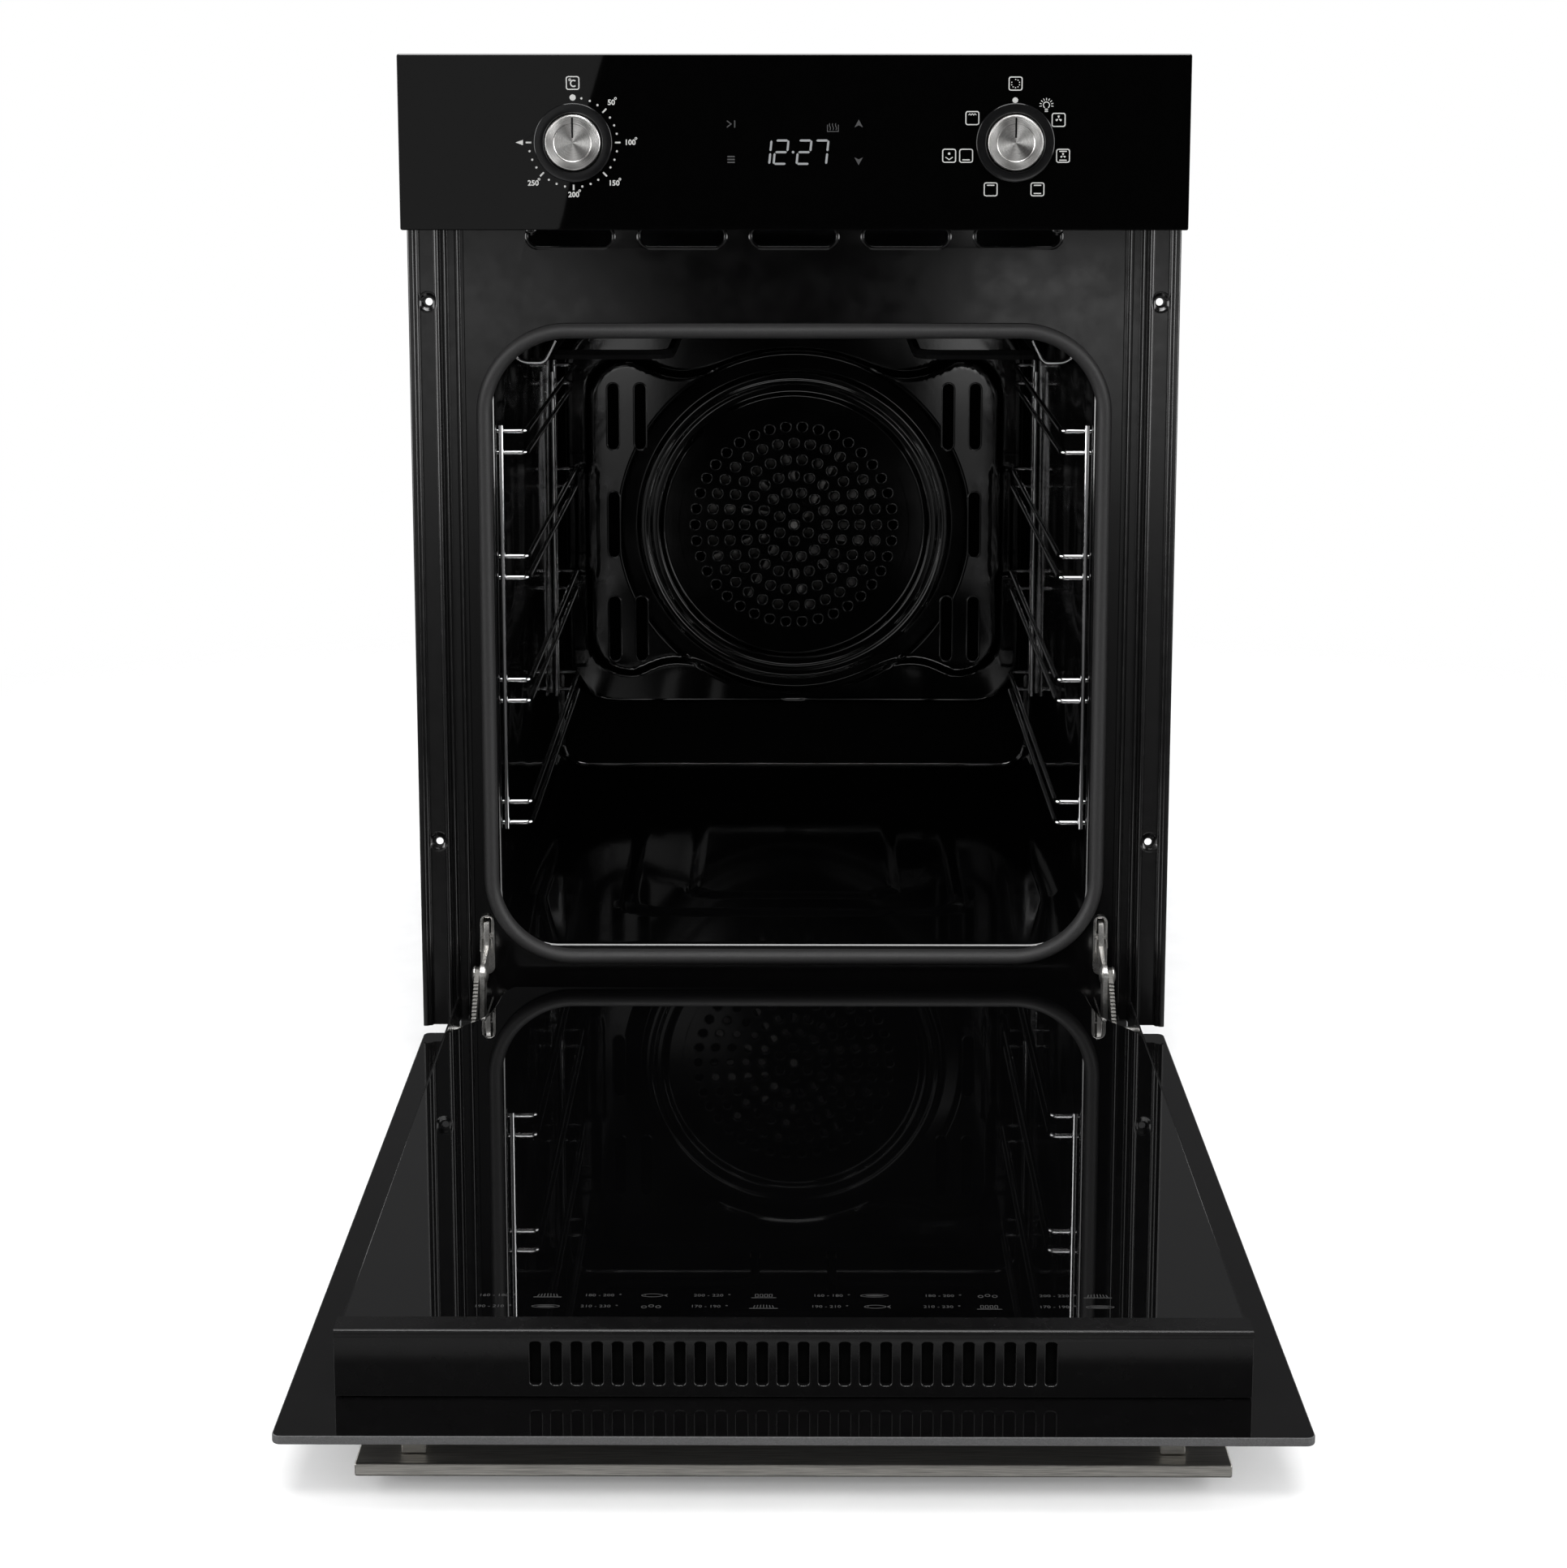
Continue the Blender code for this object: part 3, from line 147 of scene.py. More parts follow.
def painted(name, colour, roughness, metallic=0.0, grain=2.0, spread=0.12, wear=0.03, relief=0.0,
            **settings):
    """A finish whose colour and roughness drift a little, with a fine relief."""
    paint = Paint(name, colour, roughness, metallic, **settings)
    drift = paint.noise(grain * 12, 2.0)
    fine = paint.noise(grain)
    dark = [c * (1 - spread) for c in colour]
    light = [min(1.0, c * (1 + spread)) for c in colour]
    paint.put("Base Color", paint.ramp(fine, [(0.3, dark), (0.7, light)]))
    paint.put("Roughness", paint.remap(drift, max(0.01, roughness - wear), roughness + wear))
    if relief:
        paint.bump(fine, relief)
    return paint


def galvanised():
    """Zinc spangle: cells of slightly different brightness and shine."""
    paint = Paint("galvanised_sheet", (0.30, 0.305, 0.31), 0.5, 0.85)
    cells = paint.node("ShaderNodeTexVoronoi", {"Vector": paint.place, "Scale": 150.0})
    tone = paint.node("ShaderNodeSeparateColor", {"Color": cells.outputs["Color"]}).outputs[0]
    paint.put("Base Color", paint.ramp(tone, [(0.0, (0.275, 0.28, 0.285)), (1.0, (0.32, 0.325, 0.33))]))
    paint.put("Roughness", paint.remap(tone, 0.47, 0.54, 0.0, 1.0))
    paint.bump(paint.noise(1.2), 0.02)
    return paint


def brushed(name, colour, roughness, stretch):
    """Metal with fine grinding lines along one axis."""
    paint = Paint(name, colour, roughness, 1.0)
    lines = paint.noise(0.35, 4.0, stretch)
    broad = paint.noise(9.0, 2.0, stretch)
    dark, light = [c * 0.72 for c in colour], [min(1.0, c * 1.25) for c in colour]
    paint.put("Base Color", paint.ramp(lines, [(0.32, dark), (0.68, light)]))
    paint.put("Roughness", paint.remap(broad, roughness - 0.08, roughness + 0.1))
    paint.bump(lines, 0.02)
    return paint


def spun():
    """Turned metal: grooves in circles round the piece's own Y axis, with streaked reflections from its
    anisotropic shine and painted highlight streaks, wedges of lighter and darker colour round the axis.
    """
    paint = Paint("spun_metal", (0.66, 0.65, 0.63), 0.3, 1.0)
    x, _, z = paint.axes()
    radius = paint.length(paint.node("ShaderNodeCombineXYZ", {"X": x, "Z": z}).outputs[0])
    grooves = paint.node("ShaderNodeTexNoise", {"W": radius, "Scale": 5200.0, "Detail": 2.0},
                         noise_dimensions="1D").outputs["Fac"]
    # Painted highlights: the colour grows lighter and darker in wedges with the angle round the axis, like
    # the streaks that turned metal reflects.
    angle = paint.calculate("ARCTAN2", z, x)
    highlight_waves = [paint.calculate("SINE", paint.calculate("MULTIPLY_ADD", angle, count, phase))
             for count, phase in ((2.0, 0.7), (5.0, 1.9))]
    painted_highlight_streaks = paint.remap(paint.calculate("ADD", *highlight_waves), 0.0, 1.0, -1.6, 1.6)
    tone = paint.calculate("ADD", paint.remap(grooves, -0.1, 0.1), painted_highlight_streaks)
    paint.put("Base Color", paint.ramp(tone, [(0.1, (0.44, 0.43, 0.42)), (0.9, (0.96, 0.95, 0.93))]))
    paint.put("Roughness", paint.remap(grooves, 0.24, 0.36))
    paint.put("Anisotropic", 0.85)
    paint.put("Tangent", paint.node("ShaderNodeTangent", direction_type="RADIAL", axis="Y").outputs[0])
    paint.bump(grooves, 0.01)
    return paint


def printed(name, colour, glow=0.0):
    """Ceramic print on glass: a slightly uneven coat."""
    paint = painted(name, colour, 0.45, grain=0.4, spread=0.1)
    if glow:
        dark = [c * 0.8 for c in colour]
        paint.put("Emission Color", paint.ramp(paint.noise(0.5), [(0.2, dark), (0.8, colour)]))
        paint.put("Emission Strength", glow)
    return paint


def make_finishes():
    """The finishes of each CAD material slot. The first is the slot's plain one."""
    return {
        "black_glass": [
            painted("door_glass", (0.0022, 0.0021, 0.0022), 0.05, grain=9, wear=0.01, IOR=1.5),
            painted("panel_glass", (0.0006, 0.0006, 0.0006), 0.02, grain=9, wear=0.008, IOR=1.5),
            painted("mirror_glass", (0.0012, 0.0012, 0.0013), 0.015, grain=30, wear=0.003, IOR=2.0),
            painted("ground_glass_edge", (0.060, 0.060, 0.061), 0.55, grain=0.6, spread=0.3, relief=0.02),
            printed("panel_print", (0.36, 0.36, 0.35)),
            printed("dim_print", (0.035, 0.035, 0.036)),
            printed("display_digits", (0.17, 0.175, 0.18), 0.25),
            printed("door_print", (0.035, 0.035, 0.035))],
        "black_enamel": [
            painted("cavity_enamel", (0.0011, 0.0011, 0.0012), 0.08, grain=3.5, relief=0.004, wear=0.02,
                    IOR=1.95),
            painted("front_enamel", (0.0014, 0.0013, 0.0014), 0.15, grain=1.0, relief=0.006, IOR=1.55),
            painted("dull_enamel", (0.0015, 0.0015, 0.0015), 0.7, grain=3, relief=0.02,
                    Specular_IOR_Level=0.1)],
        "black_paint": [
            painted("column_paint", (0.0022, 0.0021, 0.0022), 0.20, grain=0.7, relief=0.006, IOR=1.6),
            painted("satin_paint", (0.0030, 0.0029, 0.0030), 0.26, grain=0.7, relief=0.008, IOR=1.45)],
        "zinc": [
            painted("zinc_plate", (0.60, 0.59, 0.57), 0.34, 1.0, grain=0.9, spread=0.2, relief=0.02,
                    wear=0.1),
            # Darker zinc. On the fan plate, deep behind the baffle, the darkness is painted shade. The
            # hinge links use it too.
            painted("dark_zinc", (0.13, 0.127, 0.12), 0.42, 1.0, grain=0.9, spread=0.25, relief=0.03,
                    wear=0.1),
            painted("fan_wheel_steel", (0.42, 0.41, 0.40), 0.5, 1.0, grain=1.2, spread=0.3, wear=0.1)],
        "brushed_steel": [brushed("handle_steel", (0.66, 0.64, 0.60), 0.42, (0.02, 1, 1)), spun()],
        "galvanised": [galvanised()],
        "chrome": [painted("chrome_wire", (0.74, 0.74, 0.75), 0.10, 1.0, grain=3, spread=0.05)],
        "seal": [painted("seal_fibre", (0.0125, 0.0122, 0.0125), 0.58, grain=0.8, relief=0.06, spread=0.3)],
        "element": [painted("element_steel", (0.0025, 0.0025, 0.0027), 0.6, grain=1.5, spread=0.3,
                            relief=0.02, Specular_IOR_Level=0.12)],
        "bezel_gloss": [painted("bezel_gloss", (0.0045, 0.0045, 0.0047), 0.10, grain=4, IOR=1.5)],
        "clear_glass": [painted("clear_glass", (0.75, 0.78, 0.77), 0.04, grain=9, IOR=1.45,
                                Transmission_Weight=0.9)],
        "mineral_wool": [painted("mineral_wool", (0.60, 0.56, 0.40), 0.95, grain=1.5, spread=0.3,
                                 relief=0.6)],
        "white_plastic": [painted("white_plastic", (0.74, 0.73, 0.69), 0.5, grain=1.5, spread=0.04)],
        "black_plastic": [painted("black_plastic", (0.018, 0.018, 0.019), 0.5, grain=0.5, relief=0.01)],
    }


FINISHES = make_finishes()
LOOKS = {paint.name: paint.owner for paints in FINISHES.values() for paint in paints}


# ---- outlines, in millimetres ---------------------------------------------------------------------
def arc(cx, cy, radius, start, end, steps):
    turns = [math.radians(start + (end - start) * i / steps) for i in range(steps + 1)]
    return [(cx + radius * math.cos(a), cy + radius * math.sin(a)) for a in turns]


def corner_arcs(x0, x1, y0, y1, radius, steps):
    """The four corners of a rounded rectangle, from the lower right one and turning left."""
    centres = ((x1 - radius, y0 + radius), (x1 - radius, y1 - radius),
               (x0 + radius, y1 - radius), (x0 + radius, y0 + radius))
    return [arc(*centre, radius, 90 * k - 90, 90 * k, steps) for k, centre in enumerate(centres)]


def rounded(x0, x1, y0, y1, radius, steps=8):
    return sum(corner_arcs(x0, x1, y0, y1, radius, steps), [])


def front_outline(low, high, radius, steps, inset=0.0):
    """The rounded outline of a box seen from the front, drawn in by an inset."""
    return rounded(low.x + inset, high.x - inset, low.z + inset, high.z - inset, radius - inset, steps)


def slot_shape(cx, cy, width, height, steps=10):
    radius = min(width, height) / 2 - 0.01
    return rounded(cx - width / 2, cx + width / 2, cy - height / 2, cy + height / 2, radius, steps)


def circle(cx, cy, radius, steps=32):
    return arc(cx, cy, radius, 0, 360 - 360 / steps, steps - 1)


def full_turn(steps):
    return [2 * math.pi * k / steps for k in range(steps)]


def bent(points, radius, steps=5):
    """An open path with its inner corners rounded."""
    points = [Vector(p) for p in points]
    path = [points[0]]
    for before, corner, after in zip(points, points[1:], points[2:]):
        reach = min(radius, (before - corner).length * 0.49, (after - corner).length * 0.49)
        start = corner + (before - corner).normalized() * reach
        end = corner + (after - corner).normalized() * reach
        for i in range(steps + 1):
            t = i / steps
            path.append(start * (1 - t) ** 2 + corner * 2 * t * (1 - t) + end * t ** 2)
    return path + [points[-1]]


def band(path, width):
    """The closed outline of a line of some width along an open 2-D path."""
    path = [Vector(p[:2]) for p in path]
    left, right = [], []
    for i, point in enumerate(path):
        before = path[i] - path[i - 1] if i else path[1] - path[0]
        after = path[i + 1] - path[i] if i + 1 < len(path) else before
        along = (before.normalized() + after.normalized()).normalized()
        half = width / 2 / max(0.5, along.dot(after.normalized()))
        side = Vector((-along.y, along.x)) * half
        left.append(tuple(point + side))
        right.append(tuple(point - side))
    return left + right[::-1]


def polar(cx, cz, radius, clock):
    """A point at a clock angle in degrees, 0 at the top and turning to the right."""
    a = math.radians(clock)
    return cx + radius * math.sin(a), cz + radius * math.cos(a)


# ---- meshes ---------------------------------------------------------------------------------------
def mesh_data(name, bm):
    data = bpy.data.meshes.new(name)
    bm.to_mesh(data)
    bm.free()
    return data


def linked(name, data):
    obj = bpy.data.objects.new(name, data)
    scene.collection.objects.link(obj)
    return obj


def loft(rings, round_again=False, caps=False):
    """Faces through rings of equal point counts."""
    bm = bmesh.new()
    verts = [[bm.verts.new(p) for p in ring] for ring in rings]
    for ring, beyond in zip(verts, verts[1:] + (verts[:1] if round_again else [])):
        for i, vert in enumerate(ring):
            j = (i + 1) % len(ring)
            bm.faces.new((vert, ring[j], beyond[j], beyond[i]))
    if caps:
        bm.faces.new(verts[0][::-1])
        bm.faces.new(verts[-1])
    bmesh.ops.recalc_face_normals(bm, faces=bm.faces)
    return bm


def rim(profile, outline, face=0.0, **kind):
    """Sheet turned round an edge: the profile lists (inset, depth), outline(inset) is its shape there."""
    return loft([[(x, face + depth, z) for x, z in outline(inset)] for inset, depth in profile], **kind)


def prism(outline, axis, start, end, stations=()):
    """A solid of a closed outline run along an axis; extra stations give it cross edges."""
    order = {"X": lambda u, v, w: (w, u, v), "Y": lambda u, v, w: (u, w, v),
             "Z": lambda u, v, w: (u, v, w)}[axis]
    places = sorted({start, end, *[s for s in stations if start < s < end]})
    return loft([[order(u, v, w) for u, v in outline] for w in places], caps=True)


def tube(points, radius, sides=12):
    """A round wire along a path, with a steady twist."""
    points = [Vector(p) for p in points]
    rings, lift = [], None
    for before, point, after in zip(points[:1] + points, points, points[1:] + points[-1:]):
        along = (after - before).normalized()
        if lift is None:
            lift = along.cross(Vector((0.31, 0.17, 0.93))).normalized()
        side = along.cross(lift).normalized()
        lift = side.cross(along).normalized()
        rings.append([point + radius * (side * math.cos(a) + lift * math.sin(a)) for a in full_turn(sides)])
    return loft(rings, caps=True)


def lathe(profile, steps=64):
    """A turned piece round -Y: the profile gives (radius, height towards the room)."""
    bm = bmesh.new()
    rings = []
    for radius, height in profile:
        turns = full_turn(steps) if radius > 0 else [0.0]
        rings.append([bm.verts.new((radius * math.cos(a), -height, radius * math.sin(a))) for a in turns])
    for ring, beyond in zip(rings, rings[1:]):
        for k in range(steps):
            j = (k + 1) % steps
            if len(ring) == 1:
                bm.faces.new((ring[0], beyond[j], beyond[k]))
            elif len(beyond) == 1:
                bm.faces.new((ring[k], ring[j], beyond[0]))
            else:
                bm.faces.new((ring[k], ring[j], beyond[j], beyond[k]))
    bmesh.ops.recalc_face_normals(bm, faces=bm.faces)
    return bm


def bore(radius, depth, steps):
    """A cutter for a round hole through a face that looks towards -Y."""
    return lathe([(0, depth), (radius, depth), (radius, -depth), (0, -depth)], steps)


def from_curve(curve):
    """The mesh of a curve, which is removed."""
    obj = bpy.data.objects.new("curve", curve)
    bm = bmesh.new()
    bm.from_mesh(obj.to_mesh())
    obj.to_mesh_clear()
    bpy.data.objects.remove(obj)
    bpy.data.curves.remove(curve)
    return bm


def text_mesh(text, height, resolution, weight=0.0):
    """Thin lettering in the XY plane, centred on the origin."""
    curve = bpy.data.curves.new("text", "FONT")
    curve.body = text
    curve.size = height * 1.4
    curve.offset = weight
    curve.align_x, curve.align_y = "CENTER", "CENTER"
    curve.extrude = 0.02
    curve.resolution_u = resolution
    return from_curve(curve)


def flat(outlines, low, high, plane="XZ", edge=0.0):
    """A plate with holes between two levels, with rounded edges."""
    curve = bpy.data.curves.new("outline", "CURVE")
    curve.dimensions = "2D"
    curve.fill_mode = "BOTH"
    curve.extrude = (high - low) / 2 - edge
    curve.bevel_depth = edge
    curve.bevel_resolution = 1
    curve.offset = -edge
    for outline in outlines:
        spline = curve.splines.new("POLY")
        spline.points.add(len(outline) - 1)
        spline.use_cyclic_u = True
        for point, (u, v) in zip(spline.points, outline):
            point.co = (u, v, 0.0, 1.0)
    bm = from_curve(curve)
    middle = (low + high) / 2
    turn = {"XY": Matrix.Translation((0, 0, middle)),
            "XZ": Matrix.Translation((0, middle, 0)) @ Matrix.Rotation(math.pi / 2, 4, "X"),
            "YZ": Matrix(((0, 0, 1, middle), (1, 0, 0, 0), (0, 1, 0, 0), (0, 0, 0, 1)))}[plane]
    bmesh.ops.transform(bm, matrix=turn, verts=bm.verts)
    bmesh.ops.remove_doubles(bm, verts=bm.verts, dist=1e-4)
    return bm


def block(x, y, z, edge=0.0, segments=2):
    bm = bmesh.new()
    bmesh.ops.create_cube(bm, size=1.0)
    middle = Vector((sum(x), sum(y), sum(z))) / 2
    size = Vector((x[1] - x[0], y[1] - y[0], z[1] - z[0]))
    bmesh.ops.transform(bm, matrix=Matrix.Translation(middle) @ Matrix.Diagonal((*size, 1)), verts=bm.verts)
    if edge:
        bmesh.ops.bevel(bm, geom=bm.edges[:], offset=edge, segments=segments, affect="EDGES", profile=0.5)
    return bm


def moved(bm, x=0.0, y=0.0, z=0.0, turn=None):
    """The mesh turned by (degrees, axis) and then moved."""
    matrix = Matrix.Translation((x, y, z))
    if turn:
        matrix = matrix @ Matrix.Rotation(math.radians(turn[0]), 4, turn[1])
    bmesh.ops.transform(bm, matrix=matrix, verts=bm.verts)
    return bm


def joined(meshes):
    whole = bmesh.new()
    for bm in meshes:
        part = mesh_data("part", bm)
        whole.from_mesh(part)
        bpy.data.meshes.remove(part)
    return whole


def taken(obj):
    """The evaluated mesh of a helper object, which is removed."""
    bm = bmesh.new()
    bm.from_object(obj, bpy.context.evaluated_depsgraph_get())
    bpy.data.objects.remove(obj)
    return bm


def thickened(bm, thickness):
    """Gives an open sheet a thickness, centred on its middle surface."""
    bmesh.ops.recalc_face_normals(bm, faces=bm.faces)
    bm.normal_update()
    obj = linked("sheet", mesh_data("sheet", bm))
    shell = obj.modifiers.new("shell", "SOLIDIFY")
    shell.thickness = thickness
    shell.offset = 0.0
    return taken(obj)


def carved(bm, cutters):
    """The mesh with cutters taken out of it."""
    body = linked("body", mesh_data("body", bm))
    tool = linked("tool", mesh_data("tool", joined(cutters)))
    change = body.modifiers.new("cut", "BOOLEAN")
    change.operation = "DIFFERENCE"
    change.object = tool
    change.solver = "EXACT"
    result = taken(body)
    bpy.data.objects.remove(tool)
    return result


def piece(name, shape, look, body="chassis", node=None, sharp=38, at=None):
    """Makes the shown object from one mesh or a list, and lets it stand for its CAD node."""
    bm = joined(shape) if isinstance(shape, list) else shape
    if at is not None:
        bmesh.ops.translate(bm, verts=bm.verts, vec=-Vector(at))
    bmesh.ops.scale(bm, vec=(MM, MM, MM), verts=bm.verts)
    data = mesh_data(name, bm)
    data.materials.append(LOOKS[look])
    data.shade_smooth()
    data.set_sharp_from_angle(angle=math.radians(sharp))
    obj = linked(name, data)
    flatter = obj.modifiers.new("flat_faces_stay_flat", "WEIGHTED_NORMAL")
    flatter.keep_sharp = True
    obj.data = bpy.data.meshes.new_from_object(obj.evaluated_get(bpy.context.evaluated_depsgraph_get()))
    obj.data.name = name
    obj.modifiers.clear()
    bpy.data.meshes.remove(data)
    if at is not None:
        obj.location = Vector(at) * MM
    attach(obj, body)
    if node:
        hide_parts(node)


# ---- control panel --------------------------------------------------------------------------------
DIAL_X = 125.0                # the two dials stand this far from the middle
DIAL_HOLE = 16.4              # radius of a dial's hole in the glass
RING_MARKS = 25.2             # radius of the dots round a dial
PRINT = (0.05, 0.01)          # how far a print's front and back stand off the glass
SEGMENTS = {"1": "bc", "2": "abged", "7": "abc"}


def panel():
    low, high = cad("control_panel_glass")
    middle = (low.z + high.z) / 2
    holes = [circle(s * DIAL_X, middle, DIAL_HOLE, 72) for s in (-1, 1)]
    plate = flat([front_outline(low, high, 1.2, 4)] + holes, low.y, high.y, edge=0.55)
    piece("panel_glass", plate, "panel_glass", node="control_panel_glass")
    knob(-DIAL_X, middle, "temperature")
    knob(DIAL_X, middle, "function")
    temperature_scale(-DIAL_X, middle, low.y)
    function_icons(DIAL_X, middle, low.y)
    display(middle, low.y)
    touch_signs(middle, low.y)


def knob(x, z, word):
    """A pop-out knob: bezel ring, turned cap with its pointer, and spindle."""
    low, high = cad(f"{word}_knob")
    radius = (high.x - low.x) / 2
    front, back = -low.y, -high.y
    bezel_low, bezel_high = cad(f"{word}_bezel")
    outer = (bezel_high.x - bezel_low.x) / 2
    height, base = -bezel_low.y, -bezel_high.y
    ring = [(radius + 0.6, base), (radius + 0.6, height - 0.7), (radius + 0.9, height - 0.2),
            (radius + 1.4, height), (outer - 0.7, height), (outer - 0.25, height - 0.15),
            (outer, height - 0.5), (outer, base), (radius + 0.6, base)]
    piece(f"{word}_bezel_ring", moved(lathe(ring, 96), x, 0, z), "bezel_gloss", node=f"{word}_bezel",
          at=(x, 0, z))
    disc = 0.655 * radius
    cap = [(0, front - 0.55), (disc - 0.2, front - 0.42), (disc, front - 0.45), (disc + 0.35, front - 0.12),
           (disc + 0.9, front), (radius - 1.5, front - 0.5), (radius - 0.7, front - 0.75),
           (radius - 0.2, front - 1.25), (radius, front - 2.0), (radius, back), (3.3, back),
           (3.3, front - 3.0), (0, front - 3.0)]
    pointer = prism(rounded(-0.55, 0.55, 2.6, radius - 1.6, 0.5, 4), "Y", -front - 2, -front + 1.7)
    shape = carved(lathe(cap, 128), [pointer])
    piece(f"{word}_cap", moved(shape, x, 0, z), "spun_metal", f"{word}_knob", f"{word}_knob",
          at=(x, 0, z), sharp=25)
    groove = flat([rounded(-0.5, 0.5, 2.7, radius - 1.7, 0.45, 4)], -front + 0.9, -front + 1.6)
    piece(f"{word}_pointer", moved(groove, x, 0, z), "bezel_gloss", f"{word}_knob")
    low, high = cad(f"{word}_shaft")
    rod = lathe([(0, -low.y), (2.6, -low.y), (3.0, -low.y - 0.4), (3.0, -high.y), (0, -high.y)], 32)
    piece(f"{word}_spindle", moved(rod, x, 0, z), "zinc_plate", f"{word}_shaft", f"{word}_shaft",
          at=(x, 0, z))


def marks(name, groups, face, look="panel_print"):
    """Print on the panel's glass. Each group is an outline, or an outline with its holes."""
    groups = [group if isinstance(group[0], list) else [group] for group in groups]
    piece(name, [flat(group, face - PRINT[0], face - PRINT[1]) for group in groups], look)


def degree(x, z):
    return [[circle(x, z, 0.75, 16), circle(x, z, 0.35, 12)]]


def temperature_scale(cx, cz, face):
    """Dots and strokes round the dial, its numbers, and a sign above it."""
    shapes = [circle(*polar(cx, cz, RING_MARKS, 0), 1.75, 32)]
    shapes += [circle(*polar(cx, cz, RING_MARKS, k * 11.25), 0.62, 16) for k in range(1, 24) if k % 4]
    for clock in range(45, 271, 45):
        shapes.append(band([polar(cx, cz, RING_MARKS + reach, clock) for reach in (-1.5, 1.6)], 0.95))
    numbers = []
    for text, clock, out, lift in (("50", 45, 5.6, 0.6), ("100", 90, 7.0, 0), ("150", 135, 7.2, 0),
                                   ("200", 180, 4.2, 0), ("250", 225, 7.2, 0)):
        x, z = polar(cx, cz, RING_MARKS + out, clock)
        mesh = text_mesh(text, 3.0, 3, weight=0.11)
        numbers.append(moved(mesh, x, face - sum(PRINT) / 2, z + lift, turn=(90, "X")))
        shapes += degree(x + 0.95 * len(text) + 0.5, z + lift + 2.3)
    x, z = polar(cx, cz, RING_MARKS + 3.2, 270)
    shapes.append([(x, z - 1.5), (x, z + 1.5), (x - 4.2, z)])
    shapes += sign_frame(cx + 0.1, cz + 33.3, 7.7) + degree(cx - 1.5, cz + 35.1)
    shapes.append(band(arc(cx + 0.6, cz + 33.1, 1.7, 50, 310, 14), 0.7))
    marks("temperature_marks", shapes, face)
    piece("temperature_numbers", numbers, "panel_print")


def sign_frame(cx, cz, size=7.9, stroke=0.6):
    """The rounded square round a function's sign."""
    half = size / 2
    inner = half - stroke
    return [[rounded(cx - half, cx + half, cz - half, cz + half, 1.4, 5),
             rounded(cx - inner, cx + inner, cz - inner, cz + inner, 0.9, 5)]]


def propeller(cx, cz, size):
    blade = ((0.25, -30), (0.95, -22), (1.0, 0), (0.95, 22), (0.25, 30))
    return [[polar(cx, cz, size * reach, 120 * k + turn) for reach, turn in blade] for k in range(3)]


def function_icons(cx, cz, face):
    """Plain signs round the function dial."""
    shapes = [circle(cx - 0.3, cz + 23.7, 1.6, 32)]
    off = (cx - 0.25, cz + 33.0)
    shapes += sign_frame(*off) + [circle(*polar(*off, 2.3, k * 36), 0.33, 10) for k in range(9)]
    x, z = lamp = (cx + 17.3, cz + 21.0)
    shapes.append(band(arc(*lamp, 1.75, -60, 240, 18), 0.5))
    shapes += [band([(x - 0.9, z - h), (x + 0.9, z - h)], 0.4) for h in (2.2, 2.9, 3.6)]
    shapes += [band([polar(*lamp, r, a) for r in (2.7, 4.0)], 0.42) for a in range(-100, 101, 25)]
    x, z = cx + 24.3, cz + 12.7
    shapes += sign_frame(x, z) + propeller(x, z + 0.6, 1.9) + propeller(cx + 27.1, cz - 7.4, 1.6)
    for x, z, lines in ((cx + 27.1, cz - 7.4, (2.5, -2.5)), (cx + 12.9, cz - 26.3, (2.3, -2.3)),
                        (cx - 13.6, cz - 26.3, (2.3,)), (cx - 27.7, cz - 7.4, (-2.3,))):
        shapes += sign_frame(x, z) + [band([(x - 2.1, z + h), (x + 2.1, z + h)], 0.6) for h in lines]
    x, z = tray = (cx - 37.3, cz - 7.4)
    shapes += sign_frame(x, z) + [band([polar(*tray, 2.2, a) for a in (-110, 180, 110)], 0.5)]
    shapes.append(circle(x, z + 1.2, 0.7, 12))
    x, z = cx - 24.4, cz + 13.7
    teeth = [(x - 2.2 + 0.73 * i, z + (2.5 if i % 2 else 1.7)) for i in range(7)]
    shapes += sign_frame(x, z) + [band(teeth, 0.4)]
    marks("function_marks", shapes, face)


def display(cz, face):
    """The clock's seven-segment digits and the dot between them."""
    height, width, slant = 14.3, 7.6, 0.1
    centre = cz - 5.4
    shapes = [circle(-0.6, centre, 0.75, 12)]
    for digit, x in (("1", -17.0), ("2", -7.4), ("2", 5.6), ("7", 15.2)):
        shapes += [[(px + x + slant * pz, centre + pz) for px, pz in bar]
                   for bar in segment_bars(SEGMENTS[digit], width, height)]
    marks("display_digits", shapes, face, "display_digits")


def segment_bars(names, width, height):
    """The six-cornered bars of a digit's lit segments, round its middle."""
    half_w, half_h, t, gap = width / 2, height / 2, 0.6, 0.5
    level = {"a": half_h - t, "g": 0, "d": t - half_h}
    bars = []
    for name in names:
        if name in level:
            low, high, across = gap - half_w, half_w - gap, level[name]
        else:
            low, high = (gap, half_h - gap) if name in "bf" else (gap - half_h, -gap)
            across = (half_w - 0.4 * t) * (1 if name in "bc" else -1)
        bar = [(low, across), (low + t, across - t), (high - t, across - t), (high, across),
               (high - t, across + t), (low + t, across + t)]
        bars.append(bar if name in level else [(x, z) for z, x in bar])
    return bars


